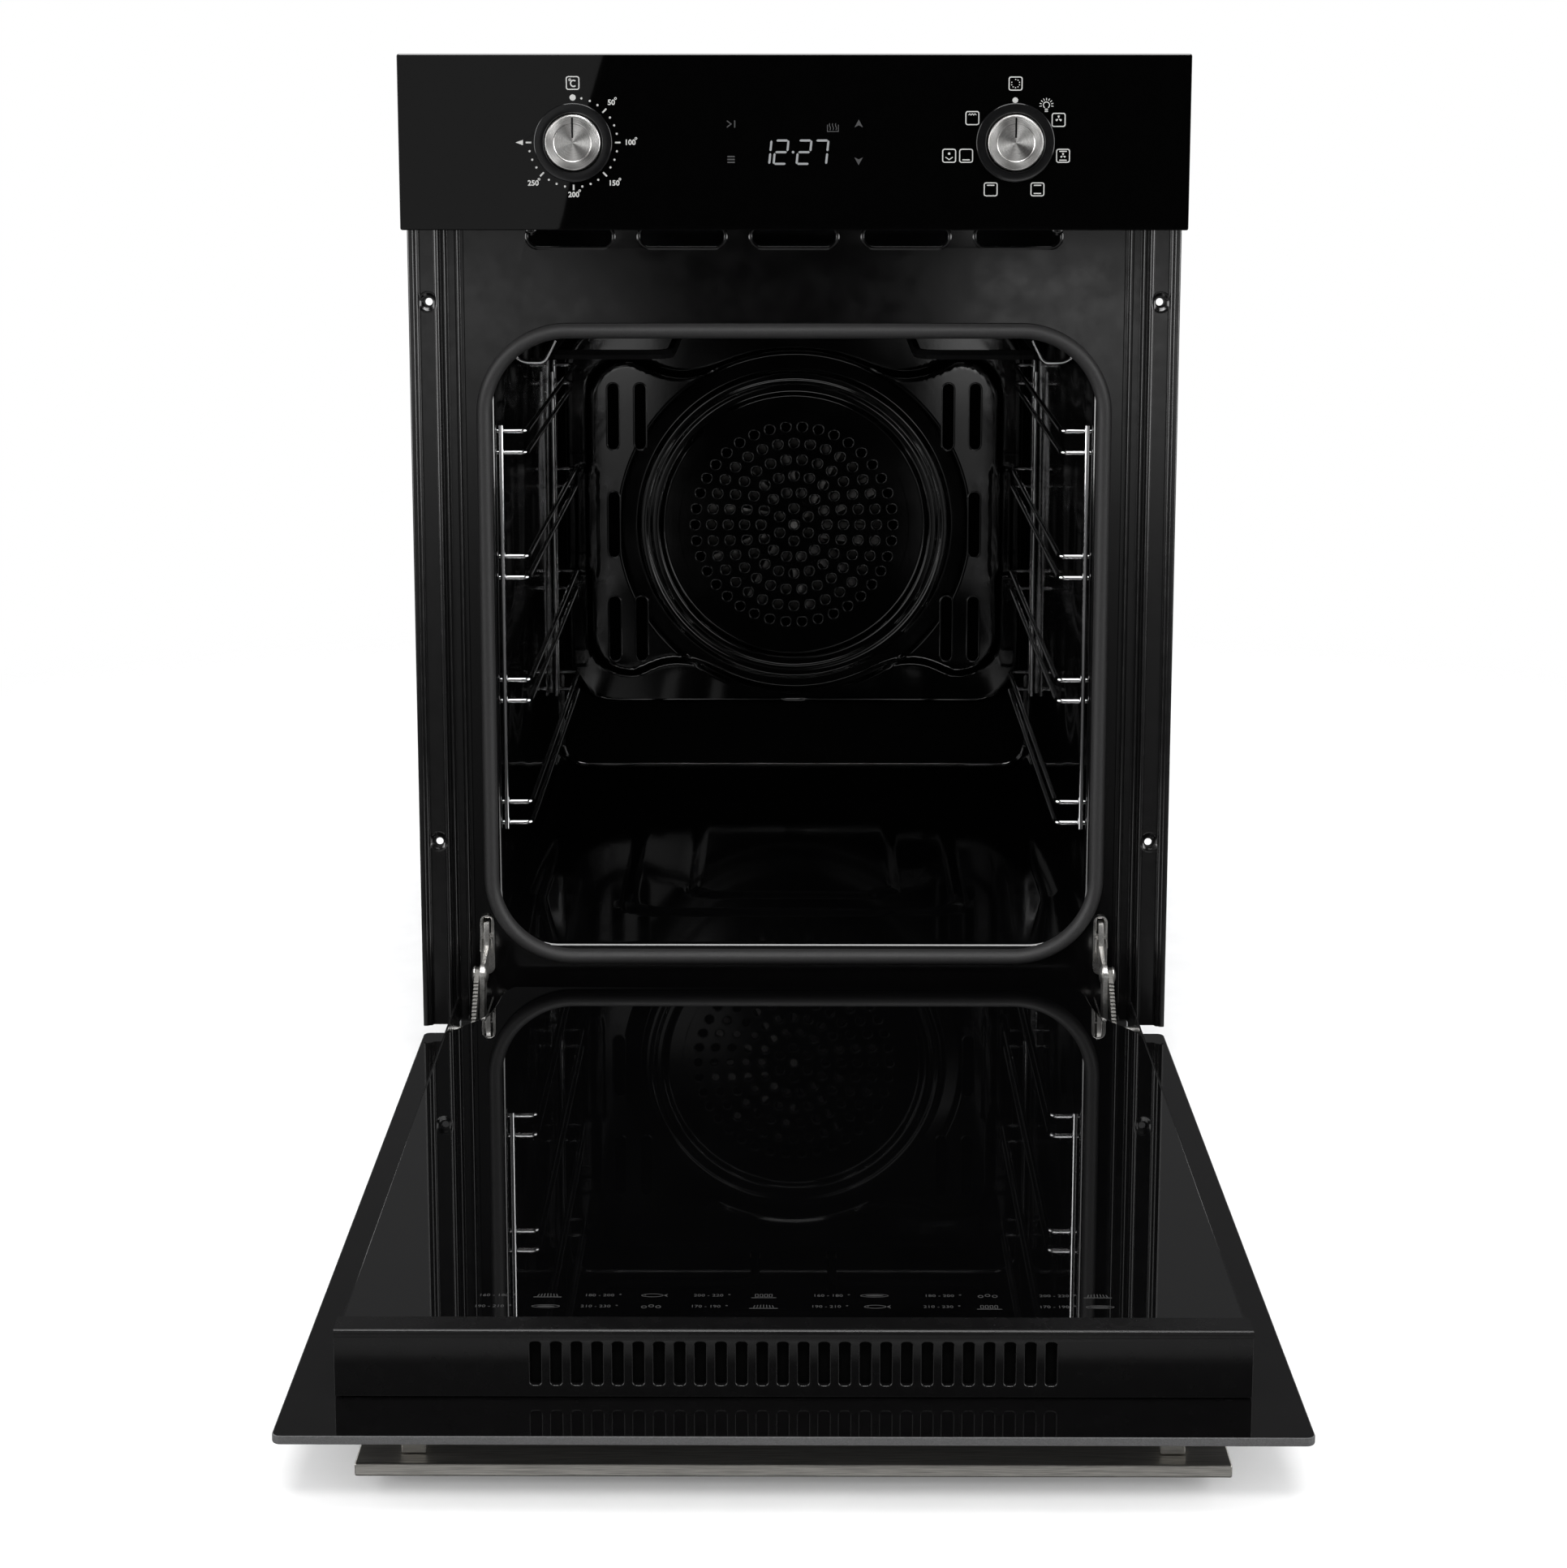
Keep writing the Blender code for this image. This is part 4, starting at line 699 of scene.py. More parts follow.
def touch_signs(cz, face):
    """The four touch keys and the heat sign beside the clock."""
    signs = []
    for s in (1, -1):
        x, z = 36.5, cz + 0.1 + s * 10.3
        signs.append([(x - 2.4, z - 1.9 * s), (x, z + 2.5 * s), (x + 2.4, z - 1.9 * s), (x, z - 0.7 * s)])
    signs.append(band([(-38.0, cz + 12.2), (-35.6, cz + 10.4), (-38.0, cz + 8.6)], 0.6))
    signs.append(band([(-33.6, cz + 12.4), (-33.6, cz + 8.4)], 0.7))
    signs += [band([(-37.8, cz - 9.5 + h), (-33.6, cz - 9.5 + h)], 0.8) for h in (-1.6, 0.0, 1.6)]
    for k in range(3):
        x = 20.2 + 1.7 * k
        signs.append(band([(x + 0.35 * math.sin(t * 1.2), cz + 7.0 + 0.75 * t) for t in range(6)], 0.45))
    signs.append(band([(18.8, cz + 10), (18.8, cz + 6.2), (25.0, cz + 6.2), (25.0, cz + 10)], 0.45))
    marks("touch_marks", signs, face, "dim_print")


# ---- front frame, columns and seal ----------------------------------------------------------------
MOUTH = (-178, 178, 56, 428, 34)        # the frame's opening: x, z and corner radius
VENTS = [65.5 * k for k in range(-2, 3)]
VENT_Z = 487.2
VENT_SIZE = (50, 12.5)
VENT_RIM = ((-1.6, 0.0), (-1.0, -0.45), (-0.2, -0.7), (0.5, -0.35), (0.8, 0.6), (0.8, 3.2))
HINGE_X = 186.1
HINGE_SLOT = (-2.6, 2.6, 56.4, 75.4)     # the frame's slot for a hinge arm: x from HINGE_X, and z
COLUMN_HOLES = (126.3, 450.3)
HOLE_X = 212.3                           # the column's screw holes are this far from the middle
DIMPLE = 6.0                             # radius of the dimple round each


def vent(x, inset=0.0):
    return slot_shape(x, VENT_Z, VENT_SIZE[0] - 2 * inset, VENT_SIZE[1] - 2 * inset)


def front_frame():
    low, high = cad("front_frame")
    outlines = [front_outline(low, high, 2, 3), rounded(*MOUTH, 14)] + [vent(x) for x in VENTS]
    left, right, bottom, top = HINGE_SLOT
    outlines += [rounded(x + left, x + right, bottom, top, 1, 3) for x in (-HINGE_X, HINGE_X)]
    piece("enamel_frame", flat(outlines, low.y, high.y, edge=0.35), "front_enamel", node="front_frame")
    rims = [rim(VENT_RIM, lambda inset: vent(x, inset), low.y) for x in VENTS]
    piece("vent_rims", rims, "front_enamel", sharp=60)
    stud = [(3.4, 0), (3.0, 0.7), (1.6, 1.3), (0, 1.5)]
    studs = [moved(lathe(stud, 24), s * 154, low.y, 491) for s in (-1, 1)]
    piece("frame_dimples", studs, "front_enamel", sharp=60)


def column(side, word):
    """Rolled side column with two ridges, dimpled round its screw holes."""
    low, high = cad(f"side_column_{word}")
    path = [(223.4, -0.4), (223.4, -2.6), (221.0, -2.6), (220.6, -1.8), (219.0, -1.8), (218.2, 0.2)]
    path += [(217.2 - 0.85 * k, 0.35) for k in range(11)]
    path += [(208.1, -0.9), (206.8, -0.9), (206.3, 4.4), (204.7, 4.4), (204.4, 3.5), (203.4, 3.5),
             (202.9, 10.4), (197.9, 10.4), (197.6, 9.5), (196.6, 9.5), (196.1, 14.8), (193.8, 14.8)]
    outline = [(side * x, y) for x, y in band(bent(path, 0.8, 3), 1.0)]
    stations = [z + 0.8 * d for z in COLUMN_HOLES for d in range(-10, 11)]
    bm = prism(outline, "Z", low.z, high.z, stations + [low.z + 0.4, high.z - 0.4])
    for vert in bm.verts:
        x, z = abs(vert.co.x), vert.co.z
        for hole in COLUMN_HOLES:
            away = math.hypot(x - HOLE_X - 0.6, z - hole)
            if away < DIMPLE and 205 < x < 222.6:
                vert.co.y += 1.3 * smooth_step(DIMPLE - away, 0.0, 3.2)
    cutters = [moved(bore(2.2, 9, 32), side * HOLE_X, 0, z) for z in COLUMN_HOLES]
    piece(f"column_{word}", carved(bm, cutters), "column_paint", node=f"side_column_{word}", sharp=50)


def seal():
    """Fibre seal: a bulb on a flat foot."""
    low, high = cad("door_seal")
    section = [(0.2, 0), (0.0, -2.2), (0.5, -4.4), (1.6, -6.2), (3.2, -7.2), (4.7, -7.4), (6.2, -7.1),
               (7.7, -5.8), (8.6, -4.0), (8.9, -1.9), (8.6, 0)]
    bulb = rim(section, lambda inset: front_outline(low, high, 54, 20, inset), high.y, round_again=True)
    piece("seal_bulb", bulb, "seal_fibre", node="door_seal", sharp=70)


# ---- cavity ---------------------------------------------------------------------------------------
INNER, FLOOR, ROOF = 177.5, 56.5, 427.5      # the liner's half width, floor and ceiling
# Panels pressed up in the floor, each (middle's y, half width, half depth, corner radius, rise)
FLOOR_PANELS = ((254, 106, 178, 22, 2.6), (214, 66, 110, 18, 2.4))
CREASE_Y = 352.0                             # where the crease runs across the floor
FAN_Z = 247.0                                # height of the fan's axis
BLADES = 10
DISC = 86.0                                  # radius of the disc with the holes
COVER_DEPTH = 6.2                            # how far the baffle stands out at most
COVER_SLOT = (8.2, 49)
COVER_SLOTS = [(s * x, z) for s in (-1, 1)
               for x, z in ((114, 329), (134, 329), (134, 248), (114, 169), (134, 169))]
GUIDES = [130.6 + 75.8 * level for level in range(4)]
GUIDE_GAP = 13.0                             # between a guide's two wires
# Circular steps of the baffle, each (rise, radius where it starts, width)
COVER_STEPS = ((-4.9, 131.0, 3.4), (5.0, 117.0, 3.2), (-0.9, 110.5, 1.8), (0.9, 107.0, 1.8),
               (-3.6, 101.5, 5.0))


def smooth_step(value, low, high):
    t = min(1.0, max(0.0, (value - low) / (high - low)))
    return t * t * (3 - 2 * t)


def between(a, b, share):
    return a[0] + (b[0] - a[0]) * share, a[1] + (b[1] - a[1]) * share


def box_distance(x, z, half_x, half_z, radius):
    """Signed distance to a rounded box round the origin."""
    qx, qz = abs(x) - half_x + radius, abs(z) - half_z + radius
    return math.hypot(max(qx, 0), max(qz, 0)) + min(max(qx, qz), 0) - radius


def liner_outline(inset, radius, across=70, up=46, corner=12):
    """The liner's rounded section, with even points along its straight runs."""
    arcs = corner_arcs(-INNER + inset, INNER - inset, FLOOR + inset, ROOF - inset, radius, corner)
    shape = []
    for k, turn in enumerate(arcs):
        count = across if k % 2 else up
        beyond = arcs[(k + 1) % 4][0]
        shape += turn + [between(turn[-1], beyond, i / count) for i in range(1, count)]
    return shape


def liner():
    """Pressed cavity: rounded shell with an embossed floor, ribbed sides and a rolled mouth."""
    low, high = cad("cavity_liner")
    rear, lip = high.y - 0.5, low.y + 0.5
    wall = lip + 2.2
    stations = [(lip, -5.0, 34), (lip, -2.2, 34), (lip + 0.2, -1.0, 34), (lip + 1.0, -0.15, 34),
                (wall, 0, 34)]
    stations += [(wall + (rear - lip - 5) * k / 150, 0, 34 - 14 * min(1.0, k / 32)) for k in range(1, 151)]
    stations += [(rear - 1.2, 0.7, 19), (rear, 3.0, 17)]
    rings = []
    for y, inset, radius in stations:
        shape = liner_outline(inset, radius)
        rings.append([(x, y, z) if inset else pressed(x, y, z) for x, z in shape])
    lamp_hole = moved(moved(bore(21, 20, 40), turn=(90, "X")), 112, 330, ROOF)
    shell = carved(thickened(loft(rings), 0.9), [lamp_hole])
    piece("cavity_shell", shell, "cavity_enamel", node="cavity_liner", sharp=45)
    openings = [(0, FAN_Z, 7)] + [(s * x, z, 4.2) for x, z in ((30, 413), (20, 164.4)) for s in (-1, 1)]
    back = flat([liner_outline(2.6, 17)] + [circle(*opening, 24) for opening in openings],
                rear - 0.45, rear + 0.45)
    piece("cavity_rear", back, "dull_enamel")


def pressed(x, y, z):
    """Pressings of the liner: nested panels in the floor, a crease behind them, waves in the sides."""
    if z < FLOOR + 0.5:
        lift = sum(rise * smooth_step(-box_distance(x, y - middle, half_x, half_y, radius), -2.5, 2.5)
                   for middle, half_x, half_y, radius, rise in FLOOR_PANELS)
        lift += 0.8 * smooth_step(2.0 - abs(y - CREASE_Y), 0, 2) * smooth_step(160 - abs(x), 0, 8)
        return x, y, z + lift * smooth_step(170 - abs(x), 0, 10)
    if abs(x) > INNER - 0.5:
        wave = 0.5 * math.sin(y / 13.0) * math.sin(z / 37.0) + 0.35 * math.sin(y / 29.0 + z / 61.0)
        return x - math.copysign(0.5 + 0.5 * wave, x), y, z
    return x, y, z


def baffle_height(x, z):
    """How far the fan baffle stands out at a point, from the fan's axis, in millimetres."""
    r = math.hypot(x, z)
    side = abs(x)
    lobe = max(box_distance(side - 110, z - 6, 43, 119, 30), 66.0 - side)
    if side < 118:
        lean = 0.41 * (108 - side)
        lobe = max(lobe, lean + 0.912 * (z - 120), lean - 0.912 * (z + 108))
    circle_gap = r - (131 if z > 0 else 126)
    blend = 26.0
    near = max(blend - abs(lobe - circle_gap), 0.0) / blend
    region = min(lobe, circle_gap) - near * near * blend / 4
    height = 6.0 * smooth_step(-region, -2.5, 3.5) - 0.9 * min(1.0, max(0.0, 127.6 - r) / 10.6)
    height += sum(rise * smooth_step(start - r, 0, width) for rise, start, width in COVER_STEPS)
    bump = box_distance(side - 154.5, z - 2.5, 7.8, 39.5, 3)
    return height + 3.2 * smooth_step(-bump, -1.2, 1.8) * smooth_step(r, 128, 132)


def baffle():
    """Pressed fan cover: recessed ring, shoulders with slots, and a disc full of holes."""
    low, high = cad("fan_baffle")
    plane = low.y + COVER_DEPTH
    half, bottom, top = high.x - 4.0, low.z + 4.0, high.z - 4.0
    turns = full_turn(384)
    rings = [[(radius * math.cos(a), radius * math.sin(a)) for a in turns]
             for radius in [85.0 + 0.75 * k for k in range(66)]]
    circle_edge = rings[-1]
    outer = [edge_point(a, half, bottom - FAN_Z, top - FAN_Z, 33) for a in turns]
    rings += [[between(p, q, k / 33) for p, q in zip(circle_edge, outer)] for k in range(1, 34)]
    solid = [[(x, plane - min(COVER_DEPTH, baffle_height(x, z)), z + FAN_Z) for x, z in ring]
             for ring in rings]
    middle = (top + bottom) / 2 - FAN_Z
    for out, back in ((1.4, 0.5), (2.6, 1.6), (3.3, 3.2), (3.4, high.y - 0.5 - plane)):
        wide, tall = (half + out) / half, (top - bottom + 2 * out) / (top - bottom)
        solid.append([(x * wide, plane + back, (z - middle) * tall + middle + FAN_Z) for x, z in outer])
    cutters = [prism(slot_shape(*spot, *COVER_SLOT, 8), "Y", plane - 12, plane + 4) for spot in COVER_SLOTS]
    piece("baffle_cover", carved(thickened(loft(solid), 0.9), cutters), "cavity_enamel", node="fan_baffle",
          sharp=42)
    rims = []
    for x, z in COVER_SLOTS:
        face = plane - baffle_height(x, z - FAN_Z) - 0.45
        rims.append(rim(((-1.3, 0.1), (-0.8, -0.2), (-0.1, -0.3), (0.3, 0.0), (0.35, 2.4)),
                        lambda i: slot_shape(x, z, COVER_SLOT[0] - 2 * i, COVER_SLOT[1] - 2 * i, 8), face))
    piece("baffle_slot_rims", rims, "cavity_enamel", sharp=70)
    face = plane - baffle_height(DISC, 0) - 0.45
    disc = [circle(0, FAN_Z, DISC, 160)] + [circle(*spot, 4.1, 20) for spot in disc_holes()]
    piece("baffle_disc", flat(disc, face, face + 0.9), "cavity_enamel")
    lip = [(4.3, 0.02), (4.0, 0.07), (3.7, 0.0), (3.4, -0.15), (3.15, -0.4), (3.0, -0.8), (2.95, -2.6)]
    lips = [moved(lathe(lip, 20), x, face, z) for x, z in disc_holes()]
    piece("baffle_hole_lips", lips, "cavity_enamel", sharp=70)


def disc_holes():
    """The disc's holes, in rings round one in the middle."""
    places = []
    for row, count in enumerate((1, 6, 14, 20, 26, 32, 38)):
        start = math.pi / 6 if row == 1 else 0.0
        places += [(12.3 * row * math.cos(start + a), FAN_Z + 12.3 * row * math.sin(start + a))
                   for a in full_turn(count)]
    return places


def edge_point(angle, half, low, high, radius):
    """Where a ray from the fan's axis meets the cover's rounded outline."""
    c, s = math.cos(angle), math.sin(angle)
    near, far = 0.0, 400.0
    middle, half_z = (low + high) / 2, (high - low) / 2
    for _ in range(40):
        reach = (near + far) / 2
        if box_distance(reach * c, reach * s - middle, half, half_z, radius) < 0:
            near = reach
        else:
            far = reach
    return near * c, near * s


def rack(side, word):
    """Side rack with four levels of two wires, and the grill element's hanger above it."""
    low, high = cad(f"side_rack_{word}")
    wall, inner, front, rear = side * 174.2, side * 159.2, 24.0, 385.0
    wire = 1.6
    wires = [tube([(wall, y, low.z + 0.2), (wall, y, high.z - 0.2)], wire) for y in (front, rear)]
    wires.append(tube([(wall - side, rear - 26, low.z + 4), (wall - side, rear - 26, high.z - 6)], 1.7))
    for z in [guide + rise for guide in GUIDES for rise in (0.0, GUIDE_GAP)]:
        path = [(side * 176.6, front + 3.4, z), (inner, front + 3.4, z), (inner, front + 14, z),
                (inner, rear - 10, z), (inner, rear, z), (wall, rear, z)]
        wires.append(tube(bent(path, 5.5, 7), wire))
    piece(f"rack_{word}", wires, "chrome_wire", node=f"side_rack_{word}", sharp=60)
    end = cad(f"element_hanger_{word}")[1].z - 1.3
    path = [(side * x, 36, z) for x, z in ((166.5, 414.5), (161, 411.0), (148.5, 411.0), (142.0, end))]
    piece(f"hanger_{word}", tube(bent(path, 3.5, 5), 1.25), "chrome_wire", node=f"element_hanger_{word}",
          sharp=60)


def fan():
    """Fan wheel: a plate with slanted blades, its shaft and its nut."""
    low, high = cad("convection_fan")
    axis = (0, 0, FAN_Z)
    back = 436.0
    plate = lathe([(3.2, -back), (69, -back), (69, -back + 0.9), (14, -back + 0.9), (12, -back + 2.0),
                   (3.2, -back + 2.2), (3.2, -back)], 72)
    # The fan plate's darker zinc is painted shade for its place deep behind the baffle.
    piece("fan_plate", moved(plate, *axis), "dark_zinc", "convection_fan", at=axis)
    shapes = []
    for k in range(BLADES):
        blade = moved(block((17, 67), (-7.5, 7.5), (-0.5, 0.5), 0.3), turn=(64, "X"))
        shapes.append(moved(moved(blade, 0, back - 8.6, 0), turn=(k * 360 / BLADES + 9, "Y")))
    shapes.append(lathe([(0, -low.y), (2.6, -low.y), (3, -low.y - 0.4), (3, -high.y), (0, -high.y)], 24))
    shapes.append(prism(circle(0, 0, 5.2, 6), "Y", low.y + 4, back - 3.4))
    piece("fan_wheel", [moved(shape, *axis) for shape in shapes], "fan_wheel_steel", "convection_fan",
          "convection_fan", at=axis)


# ---- casing ---------------------------------------------------------------------------------------
FACES = {"left": (-90, "Z"), "right": (90, "Z"), "rear": (180, "Z"), "top": (-90, "X")}
BEAD = ((-3.4, 0.1), (-2.6, -0.25), (-1.4, -0.75), (0.0, -0.95), (1.4, -0.75), (2.6, -0.25), (3.4, 0.1))


def bead(width, height, radius):
    """A rounded pressed bead in a closed loop, looking towards -Y."""
    def outline(inset):
        half_w, half_h = width / 2 - inset, height / 2 - inset
        return rounded(-half_w, half_w, -half_h, half_h, radius - inset, 8)
    return rim(BEAD, outline)


def screw():
    """A round screw head with a socket, looking towards -Y."""
    return lathe([(0, 0.6), (1.1, 0.6), (1.25, 1.5), (2.4, 1.35), (3.3, 0.8), (3.6, 0.0), (3.6, -0.2)], 20)


def on_casing(name, face, look, placed):
    """One piece of shapes that look towards -Y, each with its place on a face of the casing."""
    shapes = [moved(moved(shape, turn=FACES[face]), *place) for shape, place in placed]
    piece(name, shapes, look, sharp=60)


def casing():
    """Pressed beads and screws on the outside of the casing."""
    for word in ("left", "right"):
        low, high = cad(f"side_panel_{word}")
        x = low.x if word == "left" else high.x
        y, z = (low.y + high.y) / 2, (low.z + high.z) / 2
        beads = [(bead(400, 420, 36), (x, y, z))]
        beads += [(bead(330, 46, 20), (x, y, z + rise)) for rise in (-120, 0, 120)]
        on_casing(f"side_beads_{word}", word, "galvanised_sheet", beads)
        screws = [(screw(), (x, place, z + rise)) for place in (low.y + 14, high.y - 14)
                  for rise in (-200, 0, 200)]
        on_casing(f"side_screws_{word}", word, "zinc_plate", screws)
    low, high = cad("rear_panel")
    x, z = (low.x + high.x) / 2, (low.z + high.z) / 2
    on_casing("rear_beads", "rear", "galvanised_sheet", [(bead(190, 140, 18), (0, high.y, FAN_Z)),
                                                         (bead(300, 40, 16), (0, high.y, 420))])
    spots = [(-186, 0), (186, 0)] + [(along, rise) for along in (-186, 0, 186) for rise in (-245, 245)]
    on_casing("rear_screws", "rear", "zinc_plate",
              [(screw(), (x + along, high.y, z + rise)) for along, rise in spots])
    low, high = cad("top_cover")
    y = (low.y + high.y) / 2
    on_casing("top_beads", "top", "galvanised_sheet", [(bead(330, 150, 30), (0, y - 60, high.z))])
    on_casing("top_screws", "top", "zinc_plate", [(screw(), (x, y + back, high.z)) for x in (-190, 190)
                                                  for back in (-225, 0, 225)])


def terminal_cover():
    """The terminal box: a lid with a groove round it, four screw holes and a sunk field."""
    low, high = cad("terminal_box")
    profile = [(0.0, low.y), (0.0, high.y - 5.0), (0.5, high.y - 4.8), (0.5, high.y - 4.2),
               (0.0, high.y - 4.0), (0.0, high.y - 1.6), (0.5, high.y - 0.5), (1.8, high.y)]
    lid = rim(profile, lambda inset: front_outline(low, high, 4, 5, inset), caps=True)
    cutters = [moved(bore(3.4, 3, 24), x, high.y, z) for x in (low.x + 8, high.x - 8)
               for z in (low.z + 8, high.z - 8)]
    cutters.append(block((low.x + 16, high.x - 16), (high.y - 0.8, high.y + 3), (low.z + 14, high.z - 14)))
    piece("terminal_cover", carved(lid, cutters), "black_plastic", node="terminal_box")


# ---- door -----------------------------------------------------------------------------------------
DOOR_AXIS = (-16, 14.4)       # y and z of the door's hinge pins
AIR_SLOTS = 26
AIR_SLOT_PITCH = 9.07
AIR_SLOT_Z = (12.2, 33.0)     # an air slot's lower and upper end
AIR_SLOT_HALF = 2.75          # half its width
CHART_COLUMNS = ((-135.4, -113), (-87.6, -65.7), (-38.3, -15.3), (15.7, 34.7), (66, 85.8), (117.9, 135.4))


def door():
    low, high = cad("door_outer_glass")
    plate = flat([rounded(low.x + 0.5, high.x - 0.5, low.y + 0.5, high.y - 0.5, 3.5)], low.z, high.z, "XY")
    piece("outer_glass", plate, "door_glass", "door", "door_outer_glass")
    edge = []
    for inset, z in ((0.55, low.z + 0.02), (0.12, low.z + 0.25), (0.0, low.z + 0.6), (0.0, high.z - 0.6),
                     (0.12, high.z - 0.25), (0.55, high.z - 0.02)):
        ring = rounded(low.x + inset, high.x - inset, low.y + inset, high.y - inset, 4.0 - inset)
        edge.append([(x, y, z) for x, y in ring])
    piece("outer_glass_edge", loft(edge), "ground_glass_edge", "door", sharp=20)
    inner_glass()
    top_profile()
    handle()
    cooking_chart()
    for side, word in SIDES:
        rail(side, word)


def inner_glass():
    """Inner glass, cut in beside the hinges."""
    low, high = cad("door_inner_glass")
    notch = ((0, -84), (1, -80), (6.5, -70), (16, -58), (22, -47), (24.5, -30), (25.5, -14), (28, -6.5),
             (31, 0))
    path = [(high.x, low.y)] + [(high.x - cut, high.y + y) for cut, y in notch]
    side = [(p.x, p.y) for p in bent(path, 6, 4)]
    outline = side + [(-x, y) for x, y in reversed(side)]
    piece("inner_glass", flat([outline], low.z, high.z, "XY", edge=0.5), "mirror_glass", "door",
          "door_inner_glass")


def air_slot(x, inset=0.0):
    half = AIR_SLOT_HALF - inset
    return rounded(x - half, x + half, AIR_SLOT_Z[0] + inset, AIR_SLOT_Z[1] - inset, 1.9 - inset, 6)


def top_profile():
    """Folded cap along the door's top edge, with pressed air slots and closed ends."""
    low, high = cad("door_top_profile")
    y, top = low.y + 0.5, high.z - 0.5
    places = [(i - (AIR_SLOTS - 1) / 2) * AIR_SLOT_PITCH for i in range(AIR_SLOTS)]
    outline = rounded(low.x, high.x, low.z, top - 2.6, 0.6, 2)
    face = flat([outline] + [air_slot(x) for x in places], low.y, y + 0.5, edge=0.3)
    fold = bent([(y, top - 3.0), (y, top), (high.y, top)], 2.4, 8)
    ends = [block((x - 1.0, x + 1.0), (y, high.y - 1), (low.z, top - 0.8), 0.4) for x in (-201.0, 201.0)]
    piece("top_profile", [face, prism(band(fold, 1.0), "X", low.x, high.x)] + ends, "satin_paint", "door",
          "door_top_profile")
    rims = [rim(((-0.9, 0.02), (-0.5, 0.0), (0.0, 0.1), (0.35, 0.6), (0.4, 2.4)),
                lambda inset: air_slot(x, inset), low.y) for x in places]
    piece("top_profile_slots", rims, "satin_paint", "door", sharp=70)


def handle():
    """The handle's bar and its two standoffs, blocks with rounded edges as on the real handle."""
    for name, node, edge, segments in (("handle", "handle_bar", 0.9, 3),
                                       ("standoff_left", "handle_standoff_left", 0.7, 2),
                                       ("standoff_right", "handle_standoff_right", 0.7, 2)):
        low, high = cad(node)
        shape = block((low.x, high.x), (low.y, high.y), (low.z, high.z), edge, segments)
        piece(name, shape, "handle_steel", "door", node)


def rail(side, word):
    """Channel along one side of the door, bored for the hinge pin."""
    low, high = cad(f"door_rail_{word}")
    out, inner, floor_z = 201.5, 180.5, 7.2
    path = bent([(out, high.z), (out, floor_z), (inner, floor_z), (inner, high.z)], 2.0, 5)
    outline = [(side * x, z) for x, z in band(path, 1.0)]
    pin_hole = tube([(side * 170, *DOOR_AXIS), (side * 210, *DOOR_AXIS)], 2.7, 24)
    piece(f"rail_{word}", carved(prism(outline, "Y", low.y, high.y), [pin_hole]), "satin_paint", "door",
          f"door_rail_{word}")


def cooking_chart():
    """Cooking chart at the inner glass's front edge: number ranges and plain food signs."""
    low, high = cad("door_inner_glass")
    shapes, meshes = [], []
    for column_number, (text_x, sign_x) in enumerate(CHART_COLUMNS):
        for row, y in enumerate((low.y + 33, low.y + 22)):
            start = 160 + 10 * ((column_number * 2 + row * 3) % 6)
            x = text_x - row
            text = text_mesh(f"{start} - {start + 20}", 2.5, 2)
            meshes.append(moved(text, x, y, high.z + sum(PRINT) / 2))
            shapes.append([circle(x + 9.4, y + 0.9, 0.5, 10), circle(x + 9.4, y + 0.9, 0.25, 8)])
            shapes += food_sign(sign_x + 2, y, (2 * column_number + row) % 5)
    meshes += [flat(shape, high.z + PRINT[1], high.z + PRINT[0], "XY") for shape in shapes]
    piece("cooking_chart", meshes, "door_print", "door")


def oval(x, y, rx, ry):
    return [(x + rx * math.cos(a), y + ry * math.sin(a)) for a in full_turn(28)]


def drawn(x, y, rx, ry, line=0.4):
    """An oval drawn as a line of some width."""
    return [oval(x, y, rx, ry), oval(x, y, rx - line, ry - line)]


def plate_line(x, y, half, low, high, radius):
    return [rounded(x - half, x + half, y + low, y + high, radius, 3)]


def food_sign(x, y, kind):
    """Plain line drawings of dishes, each a list of shapes with their holes."""
    if kind == 0:      # ribbed cake on a plate
        tops = [(x - 3.9 + 1.3 * k, y + 1.7 - 0.07 * (k - 3) ** 2) for k in range(7)]
        ribs = [[band([(x - 4.5 + 1.5 * k, y - 1.2), top], 0.4)] for k, top in enumerate(tops)]
        return ribs + [plate_line(x, y, 6.4, -2.1, -1.5, 0.25)]
    if kind == 1:      # flat dish
        return [drawn(x, y, 6.4, 1.6), [oval(x, y, 4.0, 0.5)]]
    if kind == 2:      # fish
        tail = [(x + 5.2, y), (x + 7.0, y + 1.6), (x + 6.4, y), (x + 7.0, y - 1.6)]
        return [drawn(x, y, 5.0, 1.7), [tail], [circle(x - 3.2, y + 0.2, 0.35, 8)]]
    if kind == 3:      # rolls
        return [[circle(x + dx, y + dy, 1.3, 16), circle(x + dx, y + dy, 0.9, 16)]
                for dx, dy in ((-3.2, -0.6), (0, 0.4), (3.2, -0.4))]
    # slices on a plate
    middles = [x - 3.2 + 2.1 * k for k in range(4)]
    slices = [[rounded(m - 0.8, m + 0.8, y - 1.6, y + 1.6, 0.5, 3),
               rounded(m - 0.45, m + 0.45, y - 1.25, y + 1.25, 0.3, 3)] for m in middles]
    return slices + [plate_line(x, y, 5.6, -2.5, -2.0, 0.2)]


# ---- hinges ---------------------------------------------------------------------------------------
LINK_AXIS = (-13, 48)         # y and z of the pivot between a hinge's arm and its link
LINK_REACH = (-30, -33)       # from there to the link's free end
RIBS = 15


def rivet(x, way, radius):
    """A rivet head at the hinge's upper pivot, standing out from x to the given side."""
    rise = [(0, 1.7), (radius * 0.45, 1.6), (radius * 0.8, 1.1), (radius, 0.3), (radius, -0.2), (0, -0.2)]
    return moved(lathe(rise, 28), x, *LINK_AXIS, turn=(90 * way, "Z"))


def hinge(side, word):
    """One hinge of the door: receiver in the frame, arm in the door, and the link between them."""
    receiver(word)
    arm(side, word)
    link(side, word)


